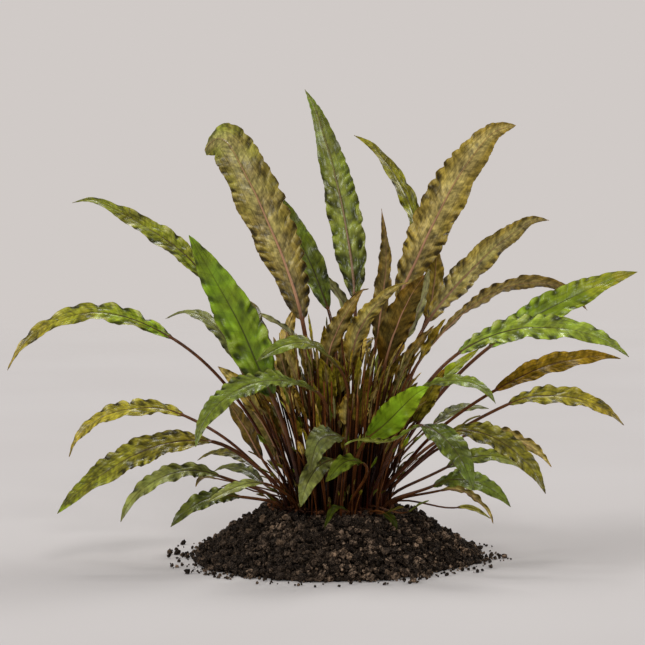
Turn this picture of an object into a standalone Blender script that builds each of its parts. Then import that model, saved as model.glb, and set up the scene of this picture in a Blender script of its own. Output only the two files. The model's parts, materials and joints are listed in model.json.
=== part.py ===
"""A clump of cryptocoryne, a water plant, growing from a small mound of dark aquarium soil.

Metres, +Z up, +X to the viewer's right and +Y away from the viewer.
The origin is the centre of the mound's flat underside.
Each leaf, stalk and blade together, is one solid that stands on the rootstock.
"""

import math
from dataclasses import dataclass

import bmesh
import bpy
import numpy as np
from mathutils import Vector, noise

MM = 0.001
GAP = 0.3 * MM  # kept between pieces that touch

# The mound of soil
MOUND_RADIUS = 87 * MM
MOUND_HEIGHT = 29 * MM
SHOULDER_RADIUS = 44 * MM  # where the top rounds over into the slope
TOE_HEIGHT = 2.2 * MM  # thickness of the mound's outer edge
MOUND_SEGMENTS = 44
SLOPE_RINGS = 9
SLOPE_FALL = 1.12  # over 1 is a slope that is flatter at the top
CLOD_CREST = 1.0 * MM  # a clump of granules rises this much over the slope
CLOD_HOLLOW = 2.8 * MM  # a hollow between clumps goes this much under it
CLOD_SCALE = 400  # random steps in a metre, more than the mound has points
SWELL_HEIGHT = 1.3 * MM
SWELL_SCALE = 61
MOUND_LOBES = ((3, 0.9, 0.030), (5, 2.1, 0.018), (8, 4.0, 0.012))  # count, phase, share of radius

# The rootstock, set in a pocket in the top of the mound
ROOTSTOCK_RADIUS = 38 * MM
ROOTSTOCK_TOP = 30 * MM
ROOTSTOCK_DEPTH = 9 * MM
ROOTSTOCK_FLAT = 0.94  # share of the radius that is flat on top
ROOTSTOCK_EDGE = 2 * MM  # drop of the worn edge
ROOTSTOCK_LOBES = ((5, 0.6, 0.030), (9, 1.9, 0.020))

# The sheaf of young shoots in the heart of the clump
SHEAF_FOOT_RADIUS = 9.5 * MM
SHEAF_TOP_RADIUS = 11 * MM
SHEAF_HEIGHT = 66 * MM
SHEAF_FLUTES = 8
SHEAF_FLUTE_DEPTH = 0.2
SHEAF_TIP_RISE = 11 * MM
SHEAF_TIP_START = 0.8  # share of the height where the tips begin to part
SHEAF_TWIST = 0.3  # radians from foot to top
SHEAF_RINGS = 6

# How the leaves stand on the rootstock
INNER_FOOT_RADIUS = 15 * MM
OUTER_FOOT_RADIUS = 34.5 * MM
FLATTEST_LEAN = math.radians(84)
START_LEAN_SHARE = 0.55  # a stalk leaves the rootstock this much steeper than its chord

# A leaf's section
STALK_RADIUS = 1.15 * MM  # on a leaf of 16 mm wide
STALK_GROWTH = 0.45  # power of the width that a stalk's radius follows
STANDARD_WIDTH = 16  # millimetres
HEXAGON = math.sqrt(3) / 2  # half the height of a hexagon of radius 1
SHEATH_SWELL = 1.35  # how much the foot is thicker
STALK_SPAN = 26 * MM
CURVE_STEPS = 24  # steps of the curve between two points that it goes through
BLADE_THICKNESS = 1.3 * MM
TIP_THINNING = 0.7  # share of the blade's thickness lost at the tip
TIP_SHARE = 0.16  # section left at the very tip
EDGE_LIFT = 0.20  # edges stand above the midrib, as a share of the half width
RUFFLE = 0.16  # edge waves, as a share of the half width
BLADE_SPANS = 9
BLADE_SPANS_SMALL = 7
SMALL_BLADE = 60 * MM
SPAN_SPREAD = 1.05  # over 1 has its sections closer at the collar
BLADE_SKEW = 0.80  # under 1 is widest below the middle
BLADE_FULLNESS = 0.68  # under 1 is fuller than a half sine

# The leaves' places were read square to the viewer, who stands in front and looks down a little.
VIEW_DISTANCE = 1600 * MM
VIEW_TILT = math.radians(4.3)
VIEW_AXIS_ACROSS = -6.9 * MM  # where the line of sight crosses the plant's own plane
VIEW_AXIS_UP = 140.7 * MM
VIEW_AXIS_HEIGHT = 142.0 * MM

LEAF_COLOURS = {
    "bright": (0.190, 0.330, 0.030),
    "green": (0.090, 0.150, 0.030),
    "grey_green": (0.110, 0.145, 0.060),
    "olive": (0.170, 0.160, 0.030),
    "brown": (0.130, 0.085, 0.020),
}
SOIL_COLOUR = (0.016, 0.014, 0.013)
ROOTSTOCK_COLOUR = (0.075, 0.026, 0.014)
SHOOT_COLOUR = (0.085, 0.028, 0.014)


@dataclass(frozen=True)
class Leaf:
    """One leaf. The midrib runs from the collar, where stalk becomes blade, to the tip."""

    name: str
    colour: str
    width: float  # widest part of the blade, in millimetres
    turn: float | None  # 0 with its underside to the viewer, 90 level, 180 with its upper face to the viewer
    midrib: tuple  # (across, up, behind) in millimetres, as seen from the front


LEAVES = (
    # Arching to the left, from the top down
    Leaf("leaf_left_1", "olive", 15, 140, (
        (-72, 160, 50), (-90, 182, 62), (-105, 193, 71), (-120, 202.3, 79), (-137, 211.3, 86),
        (-150, 214.5, 91), (-157, 212.5, 94))),
    Leaf("leaf_left_2", "bright", 25, 165, (
        (-37, 96, -28), (-45, 113, -32), (-54, 134, -36), (-65, 155, -41), (-77, 176, -46), (-87, 193, -50))),
    Leaf("leaf_left_3", "grey_green", 11, 130, (
        (-56, 113, 30), (-62, 125, 38), (-69, 136, 47), (-78, 143.5, 57), (-89, 147, 67), (-101, 143, 77))),
    Leaf("leaf_left_4", "olive", 14, 135, (
        (-95, 130, 0), (-113, 139.5, 2), (-130, 145.3, 4), (-147, 146.5, 6), (-163, 143, 8),
        (-177.5, 135, 9), (-189.5, 123.5, 10), (-196, 112, 10))),
    Leaf("leaf_left_5", "olive", 13, 130, (
        (-88, 84, 6), (-103, 89, 8), (-120, 89, 10), (-134.5, 86, 13), (-147, 78.5, 15), (-155.5, 69, 16),
        (-159, 60, 17))),
    Leaf("leaf_left_6", "olive", 19.5, 140, (
        (-72, 69, -18), (-87, 70, -24), (-103, 67.5, -30), (-120, 61, -36), (-137, 51, -42), (-153, 39, -47),
        (-166, 26, -52))),
    Leaf("leaf_left_7", "brown", 11.5, 30, (
        (-42, 57, 24), (-47, 66, 31), (-53, 77, 40), (-60, 88, 50), (-66, 98, 60))),
    Leaf("leaf_left_8", "brown", 16, 30, (
        (-30, 52, 40), (-35, 65, 50), (-42, 79, 62), (-50, 90, 74), (-58, 99, 86))),
    Leaf("leaf_left_9", "olive", 7.5, 125, (
        (-46, 53, 44), (-56, 60, 56), (-67, 63, 67), (-76, 61.5, 76), (-82, 58, 82))),
    Leaf("leaf_left_10", "grey_green", 12.5, 135, (
        (-67, 48, -8), (-79, 51.5, -12), (-91, 51.5, -16), (-103, 48, -19), (-115, 40.5, -22),
        (-123.5, 31, -25), (-128, 21, -27))),
    Leaf("leaf_left_11", "grey_green", 7.5, 130, (
        (-41, 43, 28), (-49, 50, 38), (-58, 53.5, 48), (-66, 54, 57), (-72, 51.5, 64))),
    Leaf("leaf_left_12", "green", 12, 140, (
        (-55, 36, -26), (-66, 37, -33), (-78, 34, -40), (-89, 27.5, -46), (-98, 18, -51))),
    Leaf("leaf_left_13", "grey_green", 8, 130, (
        (-41, 44, -46), (-52, 44, -58), (-64, 39.5, -70), (-76, 33, -80))),
    # Standing up, most of them leaning away
    Leaf("leaf_upright_1", "brown", 30, 15, (
        (-19, 142, 20), (-24, 161, 26), (-31, 181, 33), (-39.5, 201, 41), (-48.5, 221, 50), (-58, 239, 61),
        (-65, 249.5, 72), (-72, 250, 84), (-77.5, 244, 92))),
    Leaf("leaf_upright_2", "green", 17, 165, (
        (-3, 147, 32), (-8, 161, 40), (-14, 176, 49), (-22, 192, 58), (-30, 208, 68), (-38, 222, 78))),
    Leaf("leaf_upright_3", "green", 21, 12, (
        (12.5, 155, 24), (11.5, 170, 28), (9.3, 186, 33), (6.5, 203, 39), (2.7, 221, 46), (-1.8, 239, 54),
        (-7.2, 257, 63), (-12, 270.5, 70), (-17.5, 280.5, 76))),
    Leaf("leaf_upright_4", "olive", 12.5, 140, (
        (46, 178, 62), (49.5, 193, 70), (47, 207, 76), (41.5, 220, 80), (34.5, 232, 84), (26, 243, 88),
        (18, 250, 90), (12, 253, 92))),
    Leaf("leaf_upright_5", "brown", 26, 12, (
        (38, 153, 22), (44, 167, 27), (51, 182, 32), (58, 197, 38), (66, 213, 44), (75, 229, 50),
        (85, 243, 56), (95, 254, 61), (103, 259.5, 65), (109, 259, 68))),
    Leaf("leaf_upright_6", "brown", 12.5, 35, (
        (25, 128, 8), (27, 142, 10), (29, 156, 11), (30.5, 170, 12), (31, 183, 12), (30, 196, 11),
        (28.5, 209, 10))),
    Leaf("leaf_upright_7", "olive", 15.5, 25, (
        (55, 142, 55), (58, 153, 60), (60, 165, 65), (61, 177, 70), (62, 188, 74))),
    Leaf("leaf_upright_8", "olive", 18.5, 25, (
        (56, 141, 23.5), (66, 155, 33), (78, 168, 43), (91, 181, 53), (104, 192, 62), (115, 199.5, 70),
        (124, 203.5, 75), (129, 202, 78))),
    Leaf("leaf_upright_9", "brown", 10, 25, (
        (-26, 113, 60), (-29, 126, 67), (-27, 139, 73), (-23, 150, 78))),
    Leaf("leaf_upright_10", "grey_green", 7, 60, (
        (-15, 122, 48), (-23, 132, 54), (-32, 139, 59), (-42, 144.5, 63), (-52, 148, 66))),
    # In the heart of the clump
    Leaf("leaf_heart_1", "brown", 18.5, 15, (
        (30, 113, -12), (32.5, 124, -14), (37, 137, -17), (42, 149, -20), (48, 160, -24), (54, 169, -28))),
    Leaf("leaf_heart_2", "olive", 14, 35, (
        (9.5, 115, -16), (12, 128, -20), (17, 140, -25), (24, 150, -31), (32, 158, -37), (39, 163, -42),
        (46, 165, -46))),
    Leaf("leaf_heart_3", "brown", 12, 20, (
        (-5, 110, -14), (-3.5, 121, -17), (0.5, 133, -21), (6.5, 145, -26), (13, 155, -30), (18, 161, -33))),
    Leaf("leaf_heart_4", "brown", 9, 40, (
        (36, 104, 8), (40, 113, 9), (46, 122, 11), (53, 131, 12), (60, 139, 13))),
    Leaf("leaf_heart_5", "grey_green", 10, 40, (
        (40, 126, 2), (46, 138, 6), (51, 150, 10), (55, 162, 14), (57, 173, 17))),
    Leaf("leaf_heart_6", "grey_green", 9, 45, (
        (11, 134, 40), (9, 145, 45), (4, 156, 50), (-3, 165, 55), (-10, 172, 59))),
    # Bending towards the viewer
    Leaf("leaf_front_1", "green", 11, 125, (
        (4, 112, -34), (-3, 120, -42), (-11, 126.5, -50), (-22, 128.5, -58), (-33, 125.5, -65),
        (-41, 121, -70), (-47, 117, -73))),
    Leaf("leaf_front_2", "green", 17, 130, (
        (-9, 98, -34), (-20, 103.5, -44), (-33, 106, -54), (-47, 104.5, -64), (-60, 99, -73), (-71, 90, -81),
        (-79, 79, -87), (-83, 66, -91))),
    Leaf("leaf_front_3", "bright", 17.5, 165, (
        (20, 71, -40), (28, 77.5, -44), (36, 85, -49), (44, 93, -53), (51, 99, -56), (57, 102, -58))),
    Leaf("leaf_front_4", "green", 10, 120, (
        (48, 99, -34), (57, 103.5, -43), (67, 105.5, -53), (77, 105.5, -63), (86, 103, -72), (93, 98, -79),
        (97, 92, -84))),
    Leaf("leaf_front_5", "green", 17, 150, (
        (52, 79, -44), (60, 76, -54), (68, 69.5, -63), (75, 60.5, -71), (80, 51, -77), (83.5, 42, -81))),
    Leaf("leaf_front_6", "grey_green", 15, 170, (
        (6, 71, -42), (-1, 73, -52), (-7, 71.5, -61), (-11, 66, -68), (-13, 58, -72), (-14.5, 50, -74))),
    Leaf("leaf_front_7", "grey_green", 12.5, 165, (
        (1, 58, -42), (-6, 56.5, -51), (-12, 51, -59), (-17, 41.5, -66), (-20, 30, -70))),
    Leaf("leaf_front_8", "green", 10, 160, (
        (18, 56, -56), (11, 58, -63), (5, 56, -69), (0, 51, -73), (-5, 45, -76))),
    Leaf("leaf_front_9", "green", 4.6, 150, (
        (9, 27, -40), (5, 29.5, -46), (0, 29, -52), (-3, 24, -57), (-6, 17, -60))),
    Leaf("leaf_front_10", "green", 4.6, 150, (
        (29, 27, -38), (32.5, 25, -44), (36, 21, -49), (38, 16, -52))),
    # Arching to the right, from the top down
    Leaf("leaf_right_1", "brown", 12.5, 45, (
        (55, 123, 38), (72, 142, 54), (83, 151, 66), (95, 158.5, 74), (107, 163, 82), (120, 165, 89),
        (133, 163, 95), (144, 156.5, 100), (152, 148, 103))),
    Leaf("leaf_right_2", "bright", 19.5, 150, (
        (92, 125, 12), (108, 136.5, 15), (125, 147, 18), (142, 155.5, 21), (158, 163, 24), (172, 168.5, 26),
        (182, 171, 27))),
    Leaf("leaf_right_3", "green", 17.5, 140, (
        (73, 121, -12), (86, 129, -15), (100, 134.5, -18), (115, 137.5, -21), (130, 137.5, -24),
        (147, 135.5, -27), (160, 131, -29), (170, 126, -30), (177, 120, -31))),
    Leaf("leaf_right_4", "brown", 15, 135, (
        (95, 99, 20), (105, 104.5, 23), (118, 111, 26), (132, 116, 29), (147, 119, 32), (160, 120.5, 34),
        (172, 119, 35))),
    Leaf("leaf_right_5", "olive", 15, 130, (
        (103, 91, -4), (115, 95.5, -6), (130, 96.8, -8), (145, 95.3, -10), (157, 91.2, -12), (167, 85.5, -13),
        (174, 79, -14))),
    Leaf("leaf_right_6", "bright", 9, 130, (
        (52, 97, 28), (60, 104, 37), (69, 111, 46), (78, 118, 55), (87, 125, 64))),
    Leaf("leaf_right_7", "brown", 11, 45, (
        (44, 81, 38), (50, 88, 50), (57, 95, 62), (64, 101, 74), (70, 106, 84))),
    Leaf("leaf_right_8", "grey_green", 8, 130, (
        (58, 78, 46), (67, 85, 58), (76, 89, 70), (85, 90, 81), (93, 89, 90))),
    Leaf("leaf_right_9", "olive", 16, 142, (
        (66, 72, -24), (78, 76, -28), (90, 74, -33), (102, 68, -38), (112, 60, -42), (120, 51, -45),
        (127, 38, -48))),
    Leaf("leaf_right_10", "brown", 11, 45, (
        (82, 74, 7), (93, 76, 9), (104, 73, 11), (114, 68.5, 13), (123, 62.5, 15), (130.5, 54, 16))),
    Leaf("leaf_right_11", "green", 11, 130, (
        (66, 53, 10), (75, 57.5, 13), (86, 60.5, 16), (97, 60.5, 19), (107, 57, 22), (115, 51, 24))),
    Leaf("leaf_right_12", "green", 13, 140, (
        (58, 42, -28), (68, 46, -36), (80, 46, -44), (91, 42.5, -51), (100, 36.5, -57), (106, 30, -62))),
    Leaf("leaf_right_13", "brown", 8, 60, (
        (62, 39.5, -8), (72, 41, -11), (81, 38, -14), (89, 31.5, -16), (94, 25, -18), (95.5, 20, -19))),
    Leaf("leaf_right_14", "olive", 4, 130, (
        (72, 29.5, 4), (79, 30, 6), (87, 27.5, 8), (94, 23, 9))),
    # On the far side, hidden from the front
    Leaf("leaf_back_1", "green", 17, None, (
        (-30, 66, 66), (-36, 78, 82), (-42, 84, 100), (-47, 82, 118), (-50, 74, 134))),
    Leaf("leaf_back_2", "olive", 16, None, (
        (22, 72, 62), (27, 88, 78), (32, 97, 96), (35, 98, 114), (37, 92, 131), (38, 82, 144))),
    Leaf("leaf_back_3", "brown", 20, None, (
        (4, 98, 56), (8, 113, 70), (12, 124, 86), (15, 130, 104), (18, 129, 122), (20, 120, 138))),
    Leaf("leaf_back_4", "grey_green", 14, None, (
        (-4, 50, 74), (-6, 60, 90), (-9, 62, 108), (-12, 55, 124), (-14, 42, 137))),
)


def clear_scene():
    for existing in list(bpy.data.objects):
        bpy.data.objects.remove(existing, do_unlink=True)


def new_collection(name):
    collection = bpy.data.collections.new(name)
    bpy.context.scene.collection.children.link(collection)
    return collection


def material(name, colour, roughness):
    made = bpy.data.materials.new(name)
    made.use_nodes = True
    shader = made.node_tree.nodes["Principled BSDF"]
    shader.inputs["Base Color"].default_value = (*colour, 1.0)
    shader.inputs["Roughness"].default_value = roughness
    shader.inputs["Metallic"].default_value = 0.0
    made.diffuse_color = (*colour, 1.0)
    return made


def add_object(name, mesh, collection, finish):
    made = bpy.data.objects.new(name, mesh)
    made.data.materials.append(finish)
    collection.objects.link(made)
    return made


def lobed(angle, lobes):
    """A ring's radius at this angle, as a share of its mean radius."""
    return 1 + sum(share * math.sin(count * angle + phase) for count, phase, share in lobes)


def turned(name, profile, segments):
    """A closed mesh turned about Z from a profile of (radius, height) that starts and ends on the axis."""
    mesh = bpy.data.meshes.new(name)
    points = [(radius, 0, height) for radius, height in profile]
    mesh.from_pydata(points, [(i, i + 1) for i in range(len(points) - 1)], [])
    turning = bpy.data.objects.new(name + "_profile", mesh)
    bpy.context.scene.collection.objects.link(turning)
    screw = turning.modifiers.new("Turn", "SCREW")
    screw.steps = screw.render_steps = segments
    screw.use_merge_vertices = True
    screw.merge_threshold = 0.00005
    graph = bpy.context.evaluated_depsgraph_get()
    made = bpy.data.meshes.new_from_object(turning.evaluated_get(graph))
    made.name = name
    bpy.data.objects.remove(turning)
    return made


def reshape(mesh, move):
    """Moves each vertex to move(position) and turns the faces outwards."""
    shaped = bmesh.new()
    shaped.from_mesh(mesh)
    for vertex in shaped.verts:
        vertex.co = move(vertex.co.copy())
    bmesh.ops.triangulate(shaped, faces=shaped.faces)
    bmesh.ops.recalc_face_normals(shaped, faces=shaped.faces)
    shaped.to_mesh(mesh)
    shaped.free()
    return mesh


def mound_profile():
    """From the floor of the rootstock's pocket, over the rim and down the slope, to the underside."""
    pocket_floor = ROOTSTOCK_TOP - ROOTSTOCK_DEPTH - GAP
    pocket_wall = ROOTSTOCK_RADIUS + GAP
    points = [(0, pocket_floor), (pocket_wall, pocket_floor), (pocket_wall, MOUND_HEIGHT)]
    for step in range(SLOPE_RINGS + 1):
        share = step / SLOPE_RINGS
        radius = SHOULDER_RADIUS + (MOUND_RADIUS - SHOULDER_RADIUS) * share
        fall = share**SLOPE_FALL
        points.append((radius, MOUND_HEIGHT - (MOUND_HEIGHT - TOE_HEIGHT) * fall))
    points += [(MOUND_RADIUS, 0), (0, 0)]
    return points


def mound_point(point):
    """Gives the turned mound its uneven outline and its clumps of granules.

    The pocket follows the rootstock.
    """
    radius = math.hypot(point.x, point.y)
    if radius < 1e-6:
        return point
    angle = math.atan2(point.y, point.x)
    if radius < ROOTSTOCK_RADIUS + 2 * GAP:
        outward = (ROOTSTOCK_RADIUS * lobed(angle, ROOTSTOCK_LOBES) + GAP) / (ROOTSTOCK_RADIUS + GAP)
        return Vector((point.x * outward, point.y * outward, point.z))
    stretch = lobed(angle, MOUND_LOBES)
    moved = Vector((point.x * stretch, point.y * stretch, point.z))
    if point.z > 0.5 * TOE_HEIGHT:
        if radius > SHOULDER_RADIUS + GAP:
            hollow = 0.5 + 0.5 * noise.cell(moved * CLOD_SCALE)
            moved.z += CLOD_CREST - (CLOD_CREST + CLOD_HOLLOW) * hollow
        moved.z = max(moved.z + SWELL_HEIGHT * noise.noise(moved * SWELL_SCALE), 0.6 * TOE_HEIGHT)
    return moved


def make_mound(collection):
    mesh = reshape(turned("soil_mound", mound_profile(), MOUND_SEGMENTS), mound_point)
    return add_object("soil_mound", mesh, collection, material("soil", SOIL_COLOUR, 0.95))


def make_rootstock(collection):
    """The knotted rootstock that every stalk grows from."""
    floor = ROOTSTOCK_TOP - ROOTSTOCK_DEPTH
    profile = [(0, ROOTSTOCK_TOP), (ROOTSTOCK_RADIUS * ROOTSTOCK_FLAT, ROOTSTOCK_TOP),
               (ROOTSTOCK_RADIUS, ROOTSTOCK_TOP - ROOTSTOCK_EDGE), (ROOTSTOCK_RADIUS, floor), (0, floor)]

    def lobe(point):
        stretch = lobed(math.atan2(point.y, point.x), ROOTSTOCK_LOBES)
        return Vector((point.x * stretch, point.y * stretch, point.z))

    mesh = reshape(turned("rootstock", profile, MOUND_SEGMENTS), lobe)
    return add_object("rootstock", mesh, collection, material("rootstock", ROOTSTOCK_COLOUR, 0.8))


def make_young_shoots(collection):
    """The close sheaf of young shoots, fluted like a bundle, with their tips standing out at the top."""
    foot = ROOTSTOCK_TOP + GAP
    profile = [(0, foot + SHEAF_HEIGHT)]
    for step in range(SHEAF_RINGS, -1, -1):
        share = step / SHEAF_RINGS
        radius = SHEAF_FOOT_RADIUS + (SHEAF_TOP_RADIUS - SHEAF_FOOT_RADIUS) * share
        profile.append((radius, foot + SHEAF_HEIGHT * share))
    profile.append((0, foot))

    def flute(point):
        radius = math.hypot(point.x, point.y)
        if radius < 1e-6:
            return point
        share = (point.z - foot) / SHEAF_HEIGHT
        crest = math.cos(SHEAF_FLUTES * (math.atan2(point.y, point.x) + SHEAF_TWIST * share))
        stretch = 1 + SHEAF_FLUTE_DEPTH * share * crest
        rise = SHEAF_TIP_RISE * crest * max(0.0, share - SHEAF_TIP_START) / (1 - SHEAF_TIP_START)
        return Vector((point.x * stretch, point.y * stretch, point.z + rise))

    mesh = reshape(turned("young_shoots", profile, 2 * SHEAF_FLUTES), flute)
    return add_object("young_shoots", mesh, collection, material("young_shoots", SHOOT_COLOUR, 0.6))


def place(across, up, behind):
    """The point seen this far across and up when it lies this far behind the centre, in millimetres."""
    sine, cosine = math.sin(VIEW_TILT), math.cos(VIEW_TILT)
    right, rise, y = across * MM - VIEW_AXIS_ACROSS, up * MM - VIEW_AXIS_UP, behind * MM
    far = VIEW_DISTANCE + y * cosine
    height = (rise * far - VIEW_DISTANCE * y * sine) / (VIEW_DISTANCE * cosine + rise * sine)
    nearness = (far - height * sine) / VIEW_DISTANCE
    return np.array((right * nearness + VIEW_AXIS_ACROSS, y, height + VIEW_AXIS_HEIGHT))


def foot_and_direction(collar):
    """Where the stalk stands on the rootstock, and how it sets out.

    Leaves that lean more stand further out.
    """
    reach, rise = math.hypot(collar[0], collar[1]), collar[2] - ROOTSTOCK_TOP
    outward = np.array((collar[0], collar[1], 0)) / reach
    lean = math.atan2(reach, rise)
    share = min(1.0, lean / FLATTEST_LEAN)
    radius = INNER_FOOT_RADIUS + (OUTER_FOOT_RADIUS - INNER_FOOT_RADIUS) * share
    foot = outward * radius + np.array((0, 0, ROOTSTOCK_TOP + GAP))
    start = START_LEAN_SHARE * math.atan2(reach - radius, rise)
    return foot, outward * math.sin(start) + np.array((0, 0, math.cos(start)))


def smooth_curve(points, start_direction):
    """A cubic spline through the points that sets out in start_direction and runs out straight at its end."""
    points = np.array(points)
    chords = np.linalg.norm(np.diff(points, axis=0), axis=1)
    count = len(points)
    system, wanted = np.zeros((count, count)), np.zeros((count, 3))
    system[0, 0], wanted[0] = 1, start_direction
    for i in range(1, count - 1):
        before, after = chords[i - 1], chords[i]
        system[i, i - 1:i + 2] = after, 2 * (before + after), before
        arriving, leaving = (points[i] - points[i - 1]) / before, (points[i + 1] - points[i]) / after
        wanted[i] = 3 * (after * arriving + before * leaving)
    system[-1, -2:] = 1, 2
    wanted[-1] = 3 * (points[-1] - points[-2]) / chords[-1]
    slopes = np.linalg.solve(system, wanted)
    curve = []
    for i, chord in enumerate(chords):
        for s in np.linspace(0, 1, CURVE_STEPS, endpoint=False):
            curve.append((2 * s**3 - 3 * s**2 + 1) * points[i] + (s**3 - 2 * s**2 + s) * chord * slopes[i]
                         + (3 * s**2 - 2 * s**3) * points[i + 1] + (s**3 - s**2) * chord * slopes[i + 1])
    curve.append(points[-1])
    return np.array(curve)


def stations(curve, shares):
    """Points and directions at these shares of the curve's length."""
    along = np.concatenate([[0], np.cumsum(np.linalg.norm(np.diff(curve, axis=0), axis=1))])
    wanted = np.array(shares) * along[-1]
    slope = np.gradient(curve, along, axis=0)
    centres = np.stack([np.interp(wanted, along, curve[:, k]) for k in range(3)], axis=1)
    directions = np.stack([np.interp(wanted, along, slope[:, k]) for k in range(3)], axis=1)
    return centres, directions / np.linalg.norm(directions, axis=1)[:, None]


def blade_outline(share):
    """Half width along the blade, as a share of the widest: broad below the middle, with a long point."""
    return math.sin(math.pi * share**BLADE_SKEW) ** BLADE_FULLNESS if 0 < share < 1 else 0.0


def turned_about(vector, axis, angle):
    return (vector * math.cos(angle) + np.cross(axis, vector) * math.sin(angle)
            + axis * float(axis @ vector) * (1 - math.cos(angle)))


def square_to(direction, vector):
    """The unit vector nearest to this one that is square to the direction."""
    across = vector - direction * float(vector @ direction)
    return across / np.linalg.norm(across)


def roll_from_level(turn, level, direction):
    """The angle about the midrib that takes the middle of a level blade to its turn."""
    if turn is None:
        return 0.0
    outward = 1 if level[1] > 0 else -1
    flat_to_viewer = square_to(direction, np.cross((0, 1, 0), direction))
    wanted = turned_about(flat_to_viewer, direction, outward * math.radians(turn))
    start = square_to(direction, level)
    return math.atan2(float(np.cross(start, wanted) @ direction), float(start @ wanted))


def leaf_sections(leaf):
    """Rings of six points from foot to tip: a round stalk that flattens into a blade with a thick midrib."""
    midrib = [place(*point) for point in leaf.midrib]
    foot, direction = foot_and_direction(midrib[0])
    curve = smooth_curve([foot, *midrib], direction)
    steps = np.linalg.norm(np.diff(curve, axis=0), axis=1)
    stalk_share = steps[:CURVE_STEPS].sum() / steps.sum()
    length = steps.sum()
    blade_spans = BLADE_SPANS_SMALL if (1 - stalk_share) * length < SMALL_BLADE else BLADE_SPANS
    stalk_spans = max(2, round(stalk_share * length / STALK_SPAN))
    shares = [stalk_share * i / stalk_spans for i in range(stalk_spans)]
    blade_shares = [(i / blade_spans) ** SPAN_SPREAD for i in range(blade_spans + 1)]
    shares += [stalk_share + (1 - stalk_share) * s for s in blade_shares]
    centres, directions = stations(curve, shares)

    heading = midrib[-1] - foot
    heading[2] = 0
    heading /= np.linalg.norm(heading)
    level = np.cross((0, 0, 1), heading)
    roll = roll_from_level(leaf.turn, level, directions[(stalk_spans + len(shares)) // 2])
    half_width = leaf.width * MM / 2
    stalk = STALK_RADIUS * (leaf.width / STANDARD_WIDTH) ** STALK_GROWTH
    rings = []
    for i, (centre, direction) in enumerate(zip(centres, directions)):
        on_blade = max(0.0, (shares[i] - stalk_share) / (1 - stalk_share))
        on_stalk = min(1.0, shares[i] / stalk_share)
        side = turned_about(square_to(direction, level), direction, roll * on_stalk**2)
        upper = np.cross(direction, side)
        core = stalk * (1 - (1 - TIP_SHARE) * on_blade)
        half = max(core, half_width * blade_outline(on_blade))
        thick = HEXAGON * core
        if on_blade > 0:
            thick = min(thick, BLADE_THICKNESS / 2 * (1 - TIP_THINNING * on_blade))
        if i == 0:
            core = half = stalk * SHEATH_SWELL
            thick = HEXAGON * core
            side, upper = level, np.cross((0, 0, 1), level)
        lift = EDGE_LIFT * (half - core)
        wave = RUFFLE * (half - core) * (1 if i % 2 else -1)
        rings.append([centre + side * a + upper * b for a, b in (
            (half, lift + wave), (core / 2, thick), (-core / 2, thick),
            (-half, lift - wave), (-core / 2, -thick), (core / 2, -thick))])
    return rings


def lofted(name, rings):
    """A closed mesh through rings of equal count, capped at both ends."""
    shaped = bmesh.new()
    rows = [[shaped.verts.new(Vector(point)) for point in ring] for ring in rings]
    count = len(rows[0])
    for lower, upper in zip(rows, rows[1:]):
        for k in range(count):
            after = (k + 1) % count
            shaped.faces.new((lower[k], lower[after], upper[after], upper[k]))
    shaped.faces.new(list(reversed(rows[0])))
    shaped.faces.new(rows[-1])
    bmesh.ops.triangulate(shaped, faces=shaped.faces)
    bmesh.ops.recalc_face_normals(shaped, faces=shaped.faces)
    mesh = bpy.data.meshes.new(name)
    shaped.to_mesh(mesh)
    shaped.free()
    mesh.shade_smooth()
    return mesh


def make_leaves(collection):
    finishes = {name: material("leaf_" + name, colour, 0.45) for name, colour in LEAF_COLOURS.items()}
    for leaf in LEAVES:
        add_object(leaf.name, lofted(leaf.name, leaf_sections(leaf)), collection, finishes[leaf.colour])


def main():
    clear_scene()
    plant = new_collection("cryptocoryne")
    make_mound(plant)
    make_rootstock(plant)
    make_young_shoots(plant)
    make_leaves(plant)


main()
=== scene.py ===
"""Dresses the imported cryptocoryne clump: leaves, shoots, rootstock, soil and a plain studio."""

import json
import math
from dataclasses import dataclass

import bmesh
import bpy
import numpy as np
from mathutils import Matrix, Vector, noise
from mathutils.bvhtree import BVHTree

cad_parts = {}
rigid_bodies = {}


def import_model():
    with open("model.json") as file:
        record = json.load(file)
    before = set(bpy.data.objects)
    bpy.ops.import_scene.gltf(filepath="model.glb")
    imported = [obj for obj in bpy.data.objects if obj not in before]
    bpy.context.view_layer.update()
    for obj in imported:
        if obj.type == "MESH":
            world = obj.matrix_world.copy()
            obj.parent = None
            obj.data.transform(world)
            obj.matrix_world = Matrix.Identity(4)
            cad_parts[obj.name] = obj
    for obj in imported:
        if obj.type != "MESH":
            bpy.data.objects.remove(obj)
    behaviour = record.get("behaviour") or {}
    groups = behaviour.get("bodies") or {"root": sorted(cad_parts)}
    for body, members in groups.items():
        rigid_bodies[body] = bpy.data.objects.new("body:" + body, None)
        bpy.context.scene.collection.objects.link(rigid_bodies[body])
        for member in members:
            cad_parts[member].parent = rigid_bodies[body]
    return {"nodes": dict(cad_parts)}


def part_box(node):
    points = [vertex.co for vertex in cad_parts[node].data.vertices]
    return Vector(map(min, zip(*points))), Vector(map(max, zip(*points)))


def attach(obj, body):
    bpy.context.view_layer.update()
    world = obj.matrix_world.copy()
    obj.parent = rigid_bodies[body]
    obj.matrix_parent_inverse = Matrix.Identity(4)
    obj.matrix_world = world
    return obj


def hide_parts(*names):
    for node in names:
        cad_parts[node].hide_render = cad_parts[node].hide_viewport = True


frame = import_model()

bl_info = {
    "name": "Cryptocoryne clump",
    "version": (1, 0, 0),
    "blender": (4, 5, 0),
    "location": "3D View > Sidebar > Cryptocoryne",
    "description": "Grows the leaves, shoots, rootstock and soil of a cryptocoryne on its packed model",
    "category": "Object",
}

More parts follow.
